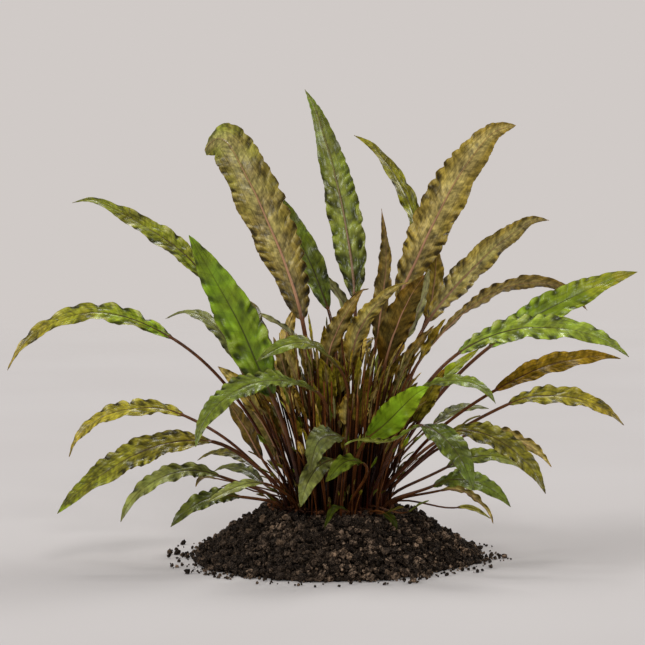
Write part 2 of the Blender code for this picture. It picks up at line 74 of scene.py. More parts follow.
MM = 0.001
TURN = 2 * math.pi
GOLDEN_TURN = math.pi * (3 - math.sqrt(5))  # spreads points evenly over a ball
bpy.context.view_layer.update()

# How a packed leaf is read.
FOOT_LIFT = 0.3 * MM  # how far its foot stands over the rootstock
FOOT_SLACK = 0.03 * MM  # how far the points of the foot may lie off its level
FOOT_REACH = 6 * MM  # how far they may lie from its middle
FLARE = 1.25  # the blade begins where a leaf is this many times as wide as its stalk

# How a leaf is grown.
FOOT_DEPTH = 3 * MM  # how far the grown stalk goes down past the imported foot
VEIN_SPACING = 6.6 * MM
VEIN_SLANT = 0.75  # how far a side vein runs tipward for each step out from the midrib
LONG_VEINS = (0.46, 0.74)  # where they lie, as shares of the half width
NICK_SHARE = 0.40  # length of a margin's nicks, as a share of its waves'
NARROW = 6 * MM  # blades of less half width have lower bumps and nicks
SHARP = math.radians(62)  # faces that meet at more than this angle keep their edge
MOST_FACES = 100000  # in one leaf
DULL_SHINE = 0.25  # a leaf that shines less than this gets the dull finish
YOUNG_COARSE = 1.6  # how much wider the mesh of a young shoot is
SMALL_STALK = 0.55 * MM  # radius of a small leaf's stalk
SMALL_TURN = 0.35  # how far a small blade is turned about its midrib, in radians

# How the mound is heaped.
MOUND_ANGLES = np.linspace(0, TURN, 72, endpoint=False)
MOUND_SHARES = np.linspace(0.06, 1.0, 26)  # of the radius
CORE_DEPTH = 3.4 * MM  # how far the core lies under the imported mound's surface
BED_DEPTH = 1.5 * MM  # how far the bed does that the granules are strewn over
LOOSE_INSIDE = 5 * MM  # how far under the mound's edge the loose grains begin
DENSEST = 4.0e6  # grains on a square metre, before those that lie too close are left out

# The plant was read square to a viewer who stands in front of it and looks down a little.
VIEW_DISTANCE = 1.6
VIEW_TILT = math.radians(4.3)
VIEW_TARGET = (-6.9 * MM, 0.0, 142.0 * MM)
VIEW_AXIS_UP = 140.7 * MM


@dataclass(frozen=True)
class Look:
    """How one blade is shaped and coloured. Ruffle and pucker are shares of the usual height."""

    belly: float = 0.40  # where the blade is widest, as a share of its length
    base: float = 0.80  # under 1 is full below the belly, over 1 is drawn in
    point: float = 0.85  # under 1 is full above the belly, over 1 is drawn out
    ruffle: float = 1.0
    pucker: float = 1.0
    wave: float = 9.0  # millimetres from one wave of the margin to the next
    young: float = 0.1  # browning at the collar, or freshness under 0
    old: float = 0.25  # browning at the tip, or freshness under 0
    # Brightness of the blade's colour, partly its own and partly painted shade: it is set lower for leaves
    # that lie in the clump's shadow.
    tone: float = 1.0
    # The pale crests that shine sets are painted highlight; shine also pales the underside near the midrib.
    shine: float = 0.5  # how pale the crests are
    stalk: float = 1.0  # tone of the stalk
    calm: float = 0.35  # how much the waves and bumps die down towards the tip


LOOKS = {
    "left_1": Look(0.35, 0.8, 1.0, 0.65, 0.9, 11, -0.4, -0.3, 0.98, 0.7),
    "left_2": Look(0.36, 0.6, 0.8, 0.6, 1.2, 12, 0.0, 0.0, 1.37, 0.8),
    "left_3": Look(0.4, 0.8, 0.95, 0.8, 0.8, 9, 0.1, 0.1, 1.1),
    "left_4": Look(0.4, 0.7, 0.85, 1.2, 0.8, 17, -0.9, 0.4, 1.35, 0.75),
    "left_5": Look(0.42, 0.75, 0.85, 0.9, 0.7, 8, 0.15, 0.4, 1.58),
    "left_6": Look(0.42, 0.65, 0.85, 0.6, 1.0, 7, 0.3, -0.6, 1.03),
    "left_7": Look(0.45, 0.9, 0.9, 0.3, 0.3, 8, 0.85, 0.75, 0.56, 0.1),
    "left_8": Look(0.45, 0.8, 0.8, 0.6, 0.6, 9, 0.3, 0.3, 0.5, 0.1),
    "left_9": Look(0.42, 0.8, 0.9, 0.9, 0.8, 7, 0.2, 0.3, 0.62),
    "left_10": Look(0.42, 0.7, 0.85, 0.8, 1.0, 6.5, 0.0, 0.05, 1.5),
    "left_11": Look(0.42, 0.8, 0.9, 0.9, 0.8, 8, 0.1, 0.2, 0.85),
    "left_12": Look(0.42, 0.7, 0.85, 0.9, 0.9, 6, 0.3, 0.25, 0.69),
    "left_13": Look(0.45, 0.8, 0.8, 0.4, 0.3, 8, 0.0, 0.0, 2.1),
    "upright_1": Look(0.52, 0.5, 0.32, 0.8, 0.65, 8.5, 0.35, -0.45, 0.92, 0.65, 1.0, 0.45),
    "upright_2": Look(0.4, 0.75, 0.8, 0.6, 0.7, 12, -0.1, 0.05, 1.48, 0.5, 1.0, 0.6),
    "upright_3": Look(0.33, 0.5, 0.9, 0.9, 1.7, 10.5, -0.15, -0.5, 0.98, 0.35, 1.0, 0.8),
    "upright_4": Look(0.45, 0.8, 0.9, 0.6, 0.6, 12, -0.3, 0.1, 1.38, 0.5, 1.0, 0.6),
    "upright_5": Look(0.45, 0.62, 0.72, 1.0, 1.1, 8.5, 0.35, 0.3, 1.46, 0.65, 1.0, 0.75),
    "upright_6": Look(0.3, 0.7, 1.15, 0.8, 0.7, 7, 0.8, 0.7, 0.8),
    "upright_7": Look(0.45, 0.8, 0.8, 0.9, 0.9, 9, 0.6, 0.7, 1.0, 0.1),
    "upright_8": Look(0.4, 0.55, 0.9, 0.6, 1.2, 7.5, 0.5, 0.5, 1.36, 0.6, 1.0, 0.7),
    "upright_9": Look(0.45, 0.8, 0.8, 0.6, 0.9, 8, 0.5, 0.7, 2.2),
    "upright_10": Look(0.45, 0.9, 1.0, 0.7, 0.7, 7, 0.1, 0.1, 1.8),
    "heart_1": Look(0.42, 0.7, 0.75, 0.55, 0.4, 8, 0.9, 0.8, 0.69, 0.1),
    "heart_2": Look(0.28, 0.7, 1.05, 0.7, 1.0, 7, 0.6, 0.35, 1.95, 0.6),
    "heart_3": Look(0.42, 0.75, 0.95, 0.9, 1.0, 8, 0.5, 0.6, 1.18, 0.6),
    "heart_4": Look(0.45, 0.9, 0.9, 1.3, 1.0, 7, 0.9, 0.8, 1.3),
    "heart_5": Look(0.45, 0.8, 0.85, 1.0, 1.1, 8, 0.45, 0.45, 1.42),
    "heart_6": Look(0.42, 0.85, 0.95, 0.8, 0.8, 8, 0.35, 0.35, 1.75),
    "front_1": Look(0.5, 0.8, 0.85, 0.5, 0.7, 9, 0.8, 0.0, 1.4),
    "front_2": Look(0.45, 0.75, 0.8, 0.7, 0.8, 6.5, 0.1, 0.0, 1.38),
    "front_3": Look(0.42, 0.65, 0.8, 0.5, 0.2, 6, 0.0, 0.0, 1.45, 0.1),
    "front_4": Look(0.45, 0.8, 0.9, 0.6, 0.8, 8, 0.05, 0.05, 1.18),
    "front_5": Look(0.42, 0.75, 0.8, 0.4, 0.6, 7, 0.05, 0.0, 0.88),
    "front_6": Look(0.42, 0.7, 0.8, 0.8, 0.7, 6, 0.0, 0.0, 1.1),
    "front_7": Look(0.42, 0.75, 0.8, 0.5, 0.8, 6, 0.05, 0.0, 1.55),
    "front_8": Look(0.42, 0.75, 0.8, 0.9, 0.6, 7, 0.0, 0.0, 1.1, 0.1),
    "front_9": Look(0.45, 0.85, 0.9, 1.0, 0.5, 6, 0.0, 0.0, 0.5, 0.1),
    "front_10": Look(0.45, 0.85, 0.9, 1.0, 0.5, 6, 0.0, 0.0, 0.33, 0.1),
    "right_1": Look(0.45, 0.85, 0.85, 0.55, 0.9, 10, 0.6, 0.5, 0.98),
    "right_2": Look(0.42, 0.7, 0.85, 0.35, 0.9, 7.5, 0.0, 0.8, 1.32, 0.7),
    "right_3": Look(0.42, 0.7, 0.85, 1.0, 1.1, 8, 0.0, 0.05, 2.02, 0.85),
    "right_4": Look(0.45, 0.75, 0.85, 0.28, 0.4, 5.5, 0.6, 0.45, 1.22, 0.2),
    "right_5": Look(0.42, 0.75, 0.9, 0.6, 0.8, 7, 0.1, 0.5, 1.3, 0.6),
    "right_6": Look(0.45, 0.85, 0.9, 0.7, 0.5, 8, 0.4, 0.7, 1.25, 0.1),
    "right_7": Look(0.45, 0.85, 0.9, 0.9, 0.8, 8, 0.5, 0.5, 0.45),
    "right_8": Look(0.45, 0.85, 0.9, 0.8, 0.7, 7, 0.2, 0.2, 1.1),
    "right_9": Look(0.42, 0.75, 0.85, 0.6, 0.85, 7, 0.15, 0.1, 1.0),
    "right_10": Look(0.45, 0.85, 0.9, 0.9, 0.8, 8, 0.2, 0.2, 2.0, 0.9),
    "right_11": Look(0.45, 0.8, 0.9, 0.6, 0.9, 6, 0.15, 0.45, 1.72),
    "right_12": Look(0.42, 0.8, 0.9, 0.5, 0.8, 6, 0.05, 0.05, 0.93),
    "right_13": Look(0.45, 0.85, 0.95, 0.9, 0.7, 7, 0.2, 0.15, 2.05, 0.9),
    "right_14": Look(0.45, 0.9, 0.95, 0.7, 0.5, 7, 0.05, 0.05, 1.85, 0.9),
}

# Small leaves that stand among the large ones: midrib as (across, up, behind) from collar to tip,
# width, family and look. All in millimetres, as seen from the front.
SMALL_LEAVES = (
    (((53, 79, -46), (45, 76, -52), (35, 70, -57), (20, 70, -62), (12, 70, -66), (6, 67, -69)), 9,
     "leaf_green", Look(0.5, 0.8, 0.9, 1.3, 0.7, 8, 0.0, 0.0, 1.8)),
    (((44, 27, -40), (50, 31, -46), (57, 34, -52)), 4, "leaf_bright", Look(ruffle=0.8)),
    (((76, 79, -20), (82, 83, -26), (88, 85, -31)), 2.4, "leaf_olive", Look(ruffle=0.5)),
    (((-70, 47, 20), (-77, 48, 25), (-81, 46, 29), (-83, 42, 32)), 5, "leaf_olive",
     Look(ruffle=1.4, old=0.8, tone=1.1)),
    (((-52, 41, -10), (-58, 44, -14), (-68, 42, -18)), 5, "leaf_olive", Look(ruffle=0.9)),
    (((-38, 118, 40), (-41, 130, 46), (-45, 141, 52), (-48, 151, 57), (-54, 155, 61)), 11,
     "leaf_olive", Look(ruffle=0.8, tone=0.75, young=0.5, old=0.5)),
    (((-18, 104, 24), (-20, 110, 27), (-24, 114, 30), (-28, 119, 33)), 12, "leaf_grey_green",
     Look(ruffle=1.4, pucker=1.6, tone=1.15, young=0.2)),
    (((-12, 98, 18), (-15, 108, 22), (-18, 116, 26), (-21, 123, 30)), 5.5, "leaf_bright",
     Look(ruffle=0.9, tone=0.9, young=0.3)),
    (((30, 26, -36), (36, 28.5, -42), (42, 30, -46)), 6, "leaf_olive", Look(ruffle=1.0)),
    (((10, 155, -22), (14, 159, -24), (21, 161, -26)), 2.2, "leaf_brown", Look(ruffle=0.8, tone=1.2)),
    (((51, 117, 8), (56, 126, 10), (61, 135, 12), (67, 143, 14)), 9, "leaf_brown",
     Look(ruffle=1.6, pucker=1.6, young=0.2, old=0.2, tone=1.85, shine=0.8)),
)


def amount(name, description, default, most=1.0, **kind):
    return bpy.props.FloatProperty(name=name, description=description, default=default,
                                   min=0.0, max=most, **kind)


def length(name, description, default):
    return amount(name, description, default, subtype="DISTANCE", unit="LENGTH", precision=5)


def share(name, description, default):
    return amount(name, description, default, subtype="FACTOR")


def number(name, description, default, most):
    return bpy.props.IntProperty(name=name, description=description, default=default, min=0, max=most)


def colour(name, description, default):
    return bpy.props.FloatVectorProperty(name=name, description=description, default=default, size=3,
                                         min=0.0, max=1.0, subtype="COLOR")


def palette(kind, face, back, aged, sheen, face_rib, back_rib, crinkle, gloss):
    """A property group with the colours of one family of leaves."""
    words = kind.lower()
    return type(kind.replace(" ", "") + "Colours", (bpy.types.PropertyGroup,), {"__annotations__": {
        "face": colour("Upper face", f"Upper face of a {words} leaf", face),
        "back": colour("Underside", f"Underside of a {words} leaf", back),
        "aged": colour("Aged", f"Where a {words} leaf has browned", aged),
        # The sheen is a highlight colour that is painted on the crests and along the underside's midrib.
        "sheen": colour("Sheen", f"Crests of a {words} leaf, where it shines", sheen),
        "face_rib": colour("Midrib above", f"Midrib on the upper face of a {words} leaf", face_rib),
        "back_rib": colour("Midrib below", f"Midrib on the underside of a {words} leaf", back_rib),
        "crinkle": share("Crinkle", f"How strongly creases show on a {words} leaf", crinkle),
        "gloss": share("Gloss", f"How strongly light glints on a {words} leaf", gloss),
    }})


FAMILIES = {
    "leaf_bright": palette(
        "Bright", (0.170, 0.265, 0.010), (0.210, 0.270, 0.028), (0.260, 0.230, 0.010),
        (0.470, 0.590, 0.120), (0.070, 0.080, 0.010), (0.330, 0.330, 0.110), 0.25, 0.32),
    "leaf_green": palette(
        "Green", (0.130, 0.170, 0.014), (0.158, 0.180, 0.014), (0.190, 0.130, 0.010),
        (0.490, 0.530, 0.150), (0.060, 0.045, 0.014), (0.260, 0.150, 0.080), 0.6, 0.32),
    "leaf_grey_green": palette(
        "Grey green", (0.160, 0.175, 0.038), (0.220, 0.220, 0.075), (0.190, 0.140, 0.024),
        (0.500, 0.515, 0.250), (0.055, 0.040, 0.018), (0.280, 0.180, 0.100), 0.6, 0.22),
    "leaf_olive": palette(
        "Olive", (0.205, 0.190, 0.014), (0.250, 0.205, 0.040), (0.270, 0.150, 0.012),
        (0.510, 0.475, 0.190), (0.070, 0.036, 0.014), (0.350, 0.190, 0.100), 1.0, 0.26),
    "leaf_brown": palette(
        "Brown", (0.220, 0.155, 0.010), (0.265, 0.212, 0.042), (0.250, 0.115, 0.008),
        (0.530, 0.445, 0.180), (0.085, 0.030, 0.014), (0.460, 0.240, 0.135), 1.0, 0.15),
}


class LeafSettings(bpy.types.PropertyGroup):
    thickness: length("Blade thickness", "Thickness of a blade between its veins", 0.42 * MM)
    stalk_share: share("Stalk", "Radius of a stalk, as a share of the packed model's", 0.85)
    ruffle: share("Ruffle", "Height of a margin's waves, as a share of half the blade's width", 0.17)
    scallop: share("Scallop", "How far the waves take the margin out, as a share of half the width", 0.15)
    pucker: length("Pucker", "Height of the bumps between the side veins", 0.85 * MM)
    fold: share("Fold", "How far the margins stand over the midrib, as a share of half the width", 0.14)
    vein_spacing: length("Vein spacing", "Distance between side veins along the midrib", VEIN_SPACING)
    rib_height: length("Midrib height", "How far the midrib stands out under a blade", 0.75 * MM)
    blade_step: length("Blade step", "Spacing of mesh rings along a blade", 1.05 * MM)
    stalk_step: length("Stalk step", "Spacing of mesh rings along a stalk", 5.0 * MM)
    column: length("Column width", "Mean spacing of mesh columns across a blade", 0.95 * MM)
    fresh: colour("Fresh", "Where a blade is still green", (0.190, 0.290, 0.008))
    stalk_foot: colour("Stalk foot", "A stalk near the rootstock", (0.080, 0.015, 0.004))
    stalk: colour("Stalk", "A stalk near its blade", (0.122, 0.042, 0.011))


class ShootSettings(bpy.types.PropertyGroup):
    stalks: number("Stalks", "Thin young stalks in the heart of the clump", 230, 400)
    blades: number("Blades", "Half-grown blades among the stalks", 62, 200)
    sprouts: number("Sprouts", "Tiny leaves low among the stalks", 96, 300)
    lowest: length("Shortest stalk", "Height of the shortest young stalk", 34 * MM)
    highest: length("Tallest stalk", "Height of the tallest young stalk", 96 * MM)
    spread: length("Spread", "Radius of the young stalks' feet", 27 * MM)
    radius: length("Stalk radius", "Mean radius of a young stalk", 0.52 * MM)


class RootstockSettings(bpy.types.PropertyGroup):
    bark: colour("Rootstock", "Bark of the rootstock", (0.016, 0.007, 0.004))
    root: colour("Roots", "Bits of root on the rootstock", (0.060, 0.020, 0.010))
    roots: number("Roots", "Bits of root round the feet of the stalks", 130, 600)
    knob: length("Knob", "Height of the rootstock's knobs", 2.4 * MM)


class SoilSettings(bpy.types.PropertyGroup):
    dark: colour("Soil", "Dry side of a granule", (0.0175, 0.0112, 0.0074))
    pale: colour("Dusty soil", "Dust on a granule", (0.310, 0.211, 0.140))
    tan: colour("Tan bits", "The few granules that are tan", (0.260, 0.165, 0.100))
    rust: colour("Rust bits", "Bits of dead stalk and root on the soil", (0.140, 0.050, 0.020))
    spacing: length("Granule spacing", "Least distance between granules", 2.6 * MM)
    smallest: length("Smallest granule", "Diameter of the smallest granule", 2.2 * MM)
    largest: length("Largest granule", "Diameter of the largest granule", 5.4 * MM)
    crumb_spacing: length("Crumb spacing", "Least distance between crumbs", 2.3 * MM)
    crumb_smallest: length("Smallest crumb", "Diameter of the smallest crumb", 1.0 * MM)
    crumb_largest: length("Largest crumb", "Diameter of the largest crumb", 2.6 * MM)
    reach: length("Reach", "How far loose granules lie from the mound's edge", 17 * MM)


class StageSettings(bpy.types.PropertyGroup):
    floor: colour("Floor", "Floor", (0.545, 0.512, 0.500))
    background: colour("Background", "What the floor fades into", (0.631, 0.591, 0.571))
    fill: amount("Fill light", "Light from all round", 0.20, 10.0)
    key: amount("Right light", "Strength of the light from the right", 1.15, 20.0)
    side: amount("Left light", "Strength of the light from the left", 1.55, 20.0)
    front: amount("Front light", "Strength of the light from the viewer's side", 0.85, 20.0)
    top: amount("Top light", "Strength of the light from above and behind", 1.3, 20.0)
    lens: amount("Lens", "Focal length of the camera, in millimetres", 148.84, 500.0)


def settings(kind):
    return getattr(bpy.context.scene, "cryptocoryne_" + kind)


def smooth(value, low, high):
    """0 below low, 1 above high, and an even S between them."""
    t = np.clip((value - low) / (high - low), 0.0, 1.0)
    return t * t * (3 - 2 * t)


def unit(vectors):
    return vectors / np.maximum(np.linalg.norm(vectors, axis=-1, keepdims=True), 1e-12)


def wander(where, rng):
    """A smooth random line through -1 to 1, one bend for each whole number."""
    first = math.floor(float(where.min()))
    values = rng.uniform(-1, 1, int(math.ceil(float(where.max()))) - first + 2)
    cell = np.floor(where).astype(int)
    low, high = values[cell - first], values[cell - first + 1]
    return low + (high - low) * smooth(where - cell, 0, 1)


def lumps(across, along, rng):
    """Smooth random lumps through -1 to 1, one for each whole step either way."""
    side = 61  # steps before the lumps repeat
    table = rng.uniform(-1, 1, (side, side))
    i, j = np.floor(across).astype(int), np.floor(along).astype(int)
    a, b = smooth(across - i, 0, 1), smooth(along - j, 0, 1)

    def corner(di, dj):
        return table[(i + di) % side, (j + dj) % side]

    near = corner(0, 0) * (1 - a) + corner(1, 0) * a
    far = corner(0, 1) * (1 - a) + corner(1, 1) * a
    return near * (1 - b) + far * b


def spline(knots, values, wanted):
    """A natural cubic spline through the values at the knots, read at the wanted places."""
    gaps = np.diff(knots)
    count = len(knots)
    slopes = np.diff(values, axis=0) / gaps[:, None]
    system, right = np.eye(count), np.zeros((count, values.shape[1]))
    for i in range(1, count - 1):
        system[i, i - 1:i + 2] = gaps[i - 1], 2 * (gaps[i - 1] + gaps[i]), gaps[i]
        right[i] = 6 * (slopes[i] - slopes[i - 1])
    bends = np.linalg.solve(system, right)
    span = np.clip(np.searchsorted(knots, wanted, side="right") - 1, 0, count - 2)
    gap = gaps[span][:, None]
    b = (wanted - knots[span])[:, None] / gap
    a = 1 - b
    curved = ((a**3 - a) * bends[span] + (b**3 - b) * bends[span + 1]) * gap**2 / 6
    return a * values[span] + b * values[span + 1] + curved


def place(across, up, behind):
    """The point that is seen this far across and up and lies this far behind the centre, in millimetres."""
    sine, cosine = math.sin(VIEW_TILT), math.cos(VIEW_TILT)
    right, rise, y = across * MM - VIEW_TARGET[0], up * MM - VIEW_AXIS_UP, behind * MM
    away = VIEW_DISTANCE + y * cosine
    height = (rise * away - VIEW_DISTANCE * y * sine) / (VIEW_DISTANCE * cosine + rise * sine)
    nearness = (away - height * sine) / VIEW_DISTANCE
    return np.array((right * nearness + VIEW_TARGET[0], y, height + VIEW_TARGET[2]))


@dataclass
class Line:
    """The line that a leaf is grown along, from foot to tip."""

    points: np.ndarray
    sides: np.ndarray  # across the blade, at each point
    collar: int  # the point where the stalk becomes blade
    half: float  # half the blade's width
    stalk: float  # radius


def carried_sides(points, collar, sides):
    """Takes the side direction at the collar down the stalk without twisting it."""
    directions = unit(np.gradient(points, axis=0))
    carried = np.array(sides)
    for i in range(collar - 1, -1, -1):
        side = carried[i + 1] - directions[i] * float(carried[i + 1] @ directions[i])
        carried[i] = side / np.linalg.norm(side)
    return carried


def welded(mesh):
    """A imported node's points, each once, and its triangles."""
    points = np.zeros(len(mesh.vertices) * 3)
    mesh.vertices.foreach_get("co", points)
    mesh.calc_loop_triangles()
    corners = np.zeros(len(mesh.loop_triangles) * 3, int)
    mesh.loop_triangles.foreach_get("vertices", corners)
    points, index = np.unique(np.round(points.reshape(-1, 3), 6), axis=0, return_inverse=True)
    return points, index.reshape(-1)[corners].reshape(-1, 3)


def rings_of(node):
    """The rings of points that a packed leaf is lofted through, from foot to tip."""
    points, triangles = welded(node.data)
    near = [set() for _ in points]
    for a, b, c in triangles:
        near[a] |= {b, c}
        near[b] |= {a, c}
        near[c] |= {a, b}
    foot_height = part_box("rootstock")[1].z + FOOT_LIFT
    level = [i for i, point in enumerate(points) if abs(point[2] - foot_height) < FOOT_SLACK]
    middle = np.median(points[level], axis=0)
    ring = [i for i in level if np.linalg.norm(points[i] - middle) < FOOT_REACH]
    rings, seen = [], set(ring)
    while ring:
        rings.append(points[ring])
        ring = sorted({j for i in ring for j in near[i]} - seen)
        seen |= set(ring)
    return rings


def line_of(node):
    """Reads a packed leaf's midrib, width and turn."""
    rings = rings_of(node)
    centres, sides, halves, lifts = [], [], [], []
    for ring in rings:
        gaps = np.linalg.norm(ring[:, None] - ring[None], axis=2)
        first, second = np.unravel_index(np.argmax(gaps), gaps.shape)
        core = np.delete(ring, [first, second], axis=0).mean(axis=0)
        centres.append(core)
        sides.append((ring[first] - ring[second]) / gaps[first, second])
        halves.append(gaps[first, second] / 2)
        lifts.append((ring[first] + ring[second]) / 2 - core)
    halves = np.array(halves)
    widest = int(np.argmax(halves[1:])) + 1
    collar = next(i for i in range(1, widest + 1) if halves[i + 1] > FLARE * halves[1])
    for i in range(collar + 1):
        centres[i] = rings[i].mean(axis=0)
    centres, sides = np.array(centres), np.array(sides)
    for i in range(widest + 1, len(sides)):
        sides[i] *= 1 if sides[i] @ sides[i - 1] > 0 else -1
    sides[-1] = sides[-2]
    for i in range(widest - 1, collar, -1):
        sides[i] *= 1 if sides[i] @ sides[i + 1] > 0 else -1
    sides[collar] = sides[collar + 1]
    directions = unit(np.gradient(centres, axis=0))
    blade = range(collar + 1, len(centres) - 1)
    if sum(float(np.cross(directions[i], sides[i]) @ lifts[i]) for i in blade) < 0:
        sides = -sides
    sides = carried_sides(centres, collar, sides)
    return Line(centres, sides, collar, float(halves.max()), float(halves[collar]))


def outline(along, look):
    """Half width along the blade, as a share of the widest."""
    rising = np.sin(np.pi / 2 * np.clip(along / look.belly, 0, 1)) ** look.base
    falling = np.cos(np.pi / 2 * np.clip((along - look.belly) / (1 - look.belly), 0, 1)) ** look.point
    return np.where(along < look.belly, rising, falling)


def margin_wave(along, wave, rng):
    """Waves whose length and height wander, and the round lobes that they give a margin."""
    steps = np.diff(along, prepend=along[0])
    pace = 1 + 0.35 * wander(along / (2.6 * wave), rng)
    phase = TURN * np.cumsum(steps * pace) / wave + rng.uniform(0, TURN)
    height = 0.75 + 0.45 * wander(along / (1.9 * wave), rng)
    lobe = np.abs(np.sin(phase / 2 + np.pi / 4)) ** 0.7 - 0.7
    return height * (np.sin(phase) + 0.25 * np.sin(2 * phase + 1.0)), height * lobe


def band_faces(rows, count):
    """Quads between each row of points and the next, where every row is a closed ring of count points."""
    row, k = np.meshgrid(np.arange(rows - 1), np.arange(count), indexing="ij")
    here, after = row * count + k, row * count + (k + 1) % count
    return np.stack([here, after, after + count, here + count], axis=-1).reshape(-1, 4)


def cap_faces(middle, first, count):
    """Triangles from a middle point to a ring of count points that starts at first."""
    k = np.arange(count)
    return np.stack([np.full(count, middle), first + k, first + (k + 1) % count], axis=-1)


def round_ring(upper, under):
    """The upper sheet's columns and then the under sheet's back again, so that a row goes round the leaf."""
    return np.concatenate([upper, under[:, ::-1]], axis=1)


def stations(line, leaf, coarse):
    """The rings of a leaf, which are closer on its blade.

    Gives how far along each one stands, where the blade begins, and each one's centre, its direction
    to the side and its direction out of the upper face.
    """
    points = np.vstack([line.points[0] - (0, 0, FOOT_DEPTH), line.points])
    sides = np.vstack([line.sides[0], line.sides])
    knots = np.concatenate([[0], np.cumsum(np.linalg.norm(np.diff(points, axis=0), axis=1))])
    collar, end = knots[line.collar + 1], knots[-1]
    stalk_rings = max(3, round(collar / (leaf.stalk_step * coarse)))
    blade_rings = max(8, round((end - collar) / (leaf.blade_step * coarse)))
    along = np.concatenate([np.linspace(0, collar, stalk_rings, endpoint=False),
                            np.linspace(collar, end, blade_rings + 1)])
    centre = spline(knots, points, along)
    direction = unit(np.gradient(centre, along, axis=0))
    side = spline(knots, sides, along)
    side = unit(side - direction * np.sum(side * direction, axis=1, keepdims=True))
    return along, collar, centre, side, np.cross(direction, side)


def blade_form(line, look, rng, along, past_collar, blade_share, reach, hand, size):
    """The form of a blade at each point, which lies at a reach of 0 to 1 on the right or left hand.

    Gives how high its sheet stands, how far out its margin lies there, and the relief that is painted on it
    as shade in its hollows and highlight on its crests.
    """
    leaf = settings("leaf")
    wave = look.wave * MM
    from_rib = reach * size
    margin_at = along[:, None] + VEIN_SLANT * (size - from_rib)

    def margins(spacing):
        """Waves and lobes over the whole blade, each half with those of its own margin."""
        right, left = margin_wave(along, spacing, rng), margin_wave(along, spacing, rng)
        return [np.where(hand > 0, np.interp(margin_at, along, one), np.interp(margin_at, along, other))
                for one, other in zip(right, left)]

    calm = 1 - look.calm * smooth(blade_share, 0.30, 0.75)[:, None]
    wave_here, lobe = margins(wave)
    wave_here, lobe = wave_here * calm, lobe * smooth(reach, 0.5, 1.0)
    nick = margins(NICK_SHARE * wave)[1] * smooth(reach, 0.6, 1.0)
    ruffle = leaf.ruffle * look.ruffle * size * smooth(reach, 0.40, 1.05) * wave_here

    drift = 0.30 * wander(past_collar / (17 * MM), rng)[:, None]
    veined = (past_collar[:, None] - VEIN_SLANT * from_rib) / leaf.vein_spacing + drift
    bars = np.sin(TURN * (veined + 0.25 * hand)) * smooth(reach, 0.16, 0.60)
    pillows = np.sin(TURN * (0.55 * veined + 0.4 * hand))
    pillows = pillows * smooth(reach, 0.05, 0.2) * smooth(reach, 0.6, 0.35)
    across = reach * hand * size
    patch = lumps(across / (3.2 * MM) + 40, past_collar[:, None] / (4.5 * MM) + 40, rng)
    broad = lumps(across / (9 * MM) + 20, past_collar[:, None] / (14 * MM) + 20, rng)
    swell = 0.6 * np.clip(0.45 + 0.55 * broad, 0.1, 1.0) * bars + 0.4 * pillows
    swell = swell + 0.85 * patch * smooth(reach, 0.06, 0.25)
    swell = swell * (1 - 0.55 * smooth(blade_share, 0.40, 0.85))[:, None] * calm
    inner, outer = LONG_VEINS
    seams = np.exp(-(((reach - inner) / 0.045) ** 2)) + 0.7 * np.exp(-(((reach - outer) / 0.04) ** 2))
    seams = seams * calm

    room = min(1.0, line.half / NARROW)
    bumps = leaf.pucker * look.pucker * room * (swell - 0.45 * seams) * smooth(size, 1.5 * MM, 5 * MM)
    height = leaf.fold * size * reach**1.6 + ruffle + bumps
    margin = size * (1 + leaf.scallop * look.ruffle * lobe) + 0.45 * MM * look.ruffle * room * nick
    # The relief painted on the leaf as shade in its hollows and highlight on its crests, from the bumps, the
    # seams and the margins' waves.
    relief = look.pucker * swell * (0.50 + 0.50 * smooth(reach, 0.40, 0.75))
    relief = relief - 0.20 * seams + (0.4 + 0.8 * look.ruffle) * wave_here * smooth(reach, 0.50, 0.92)
    return height, margin, relief


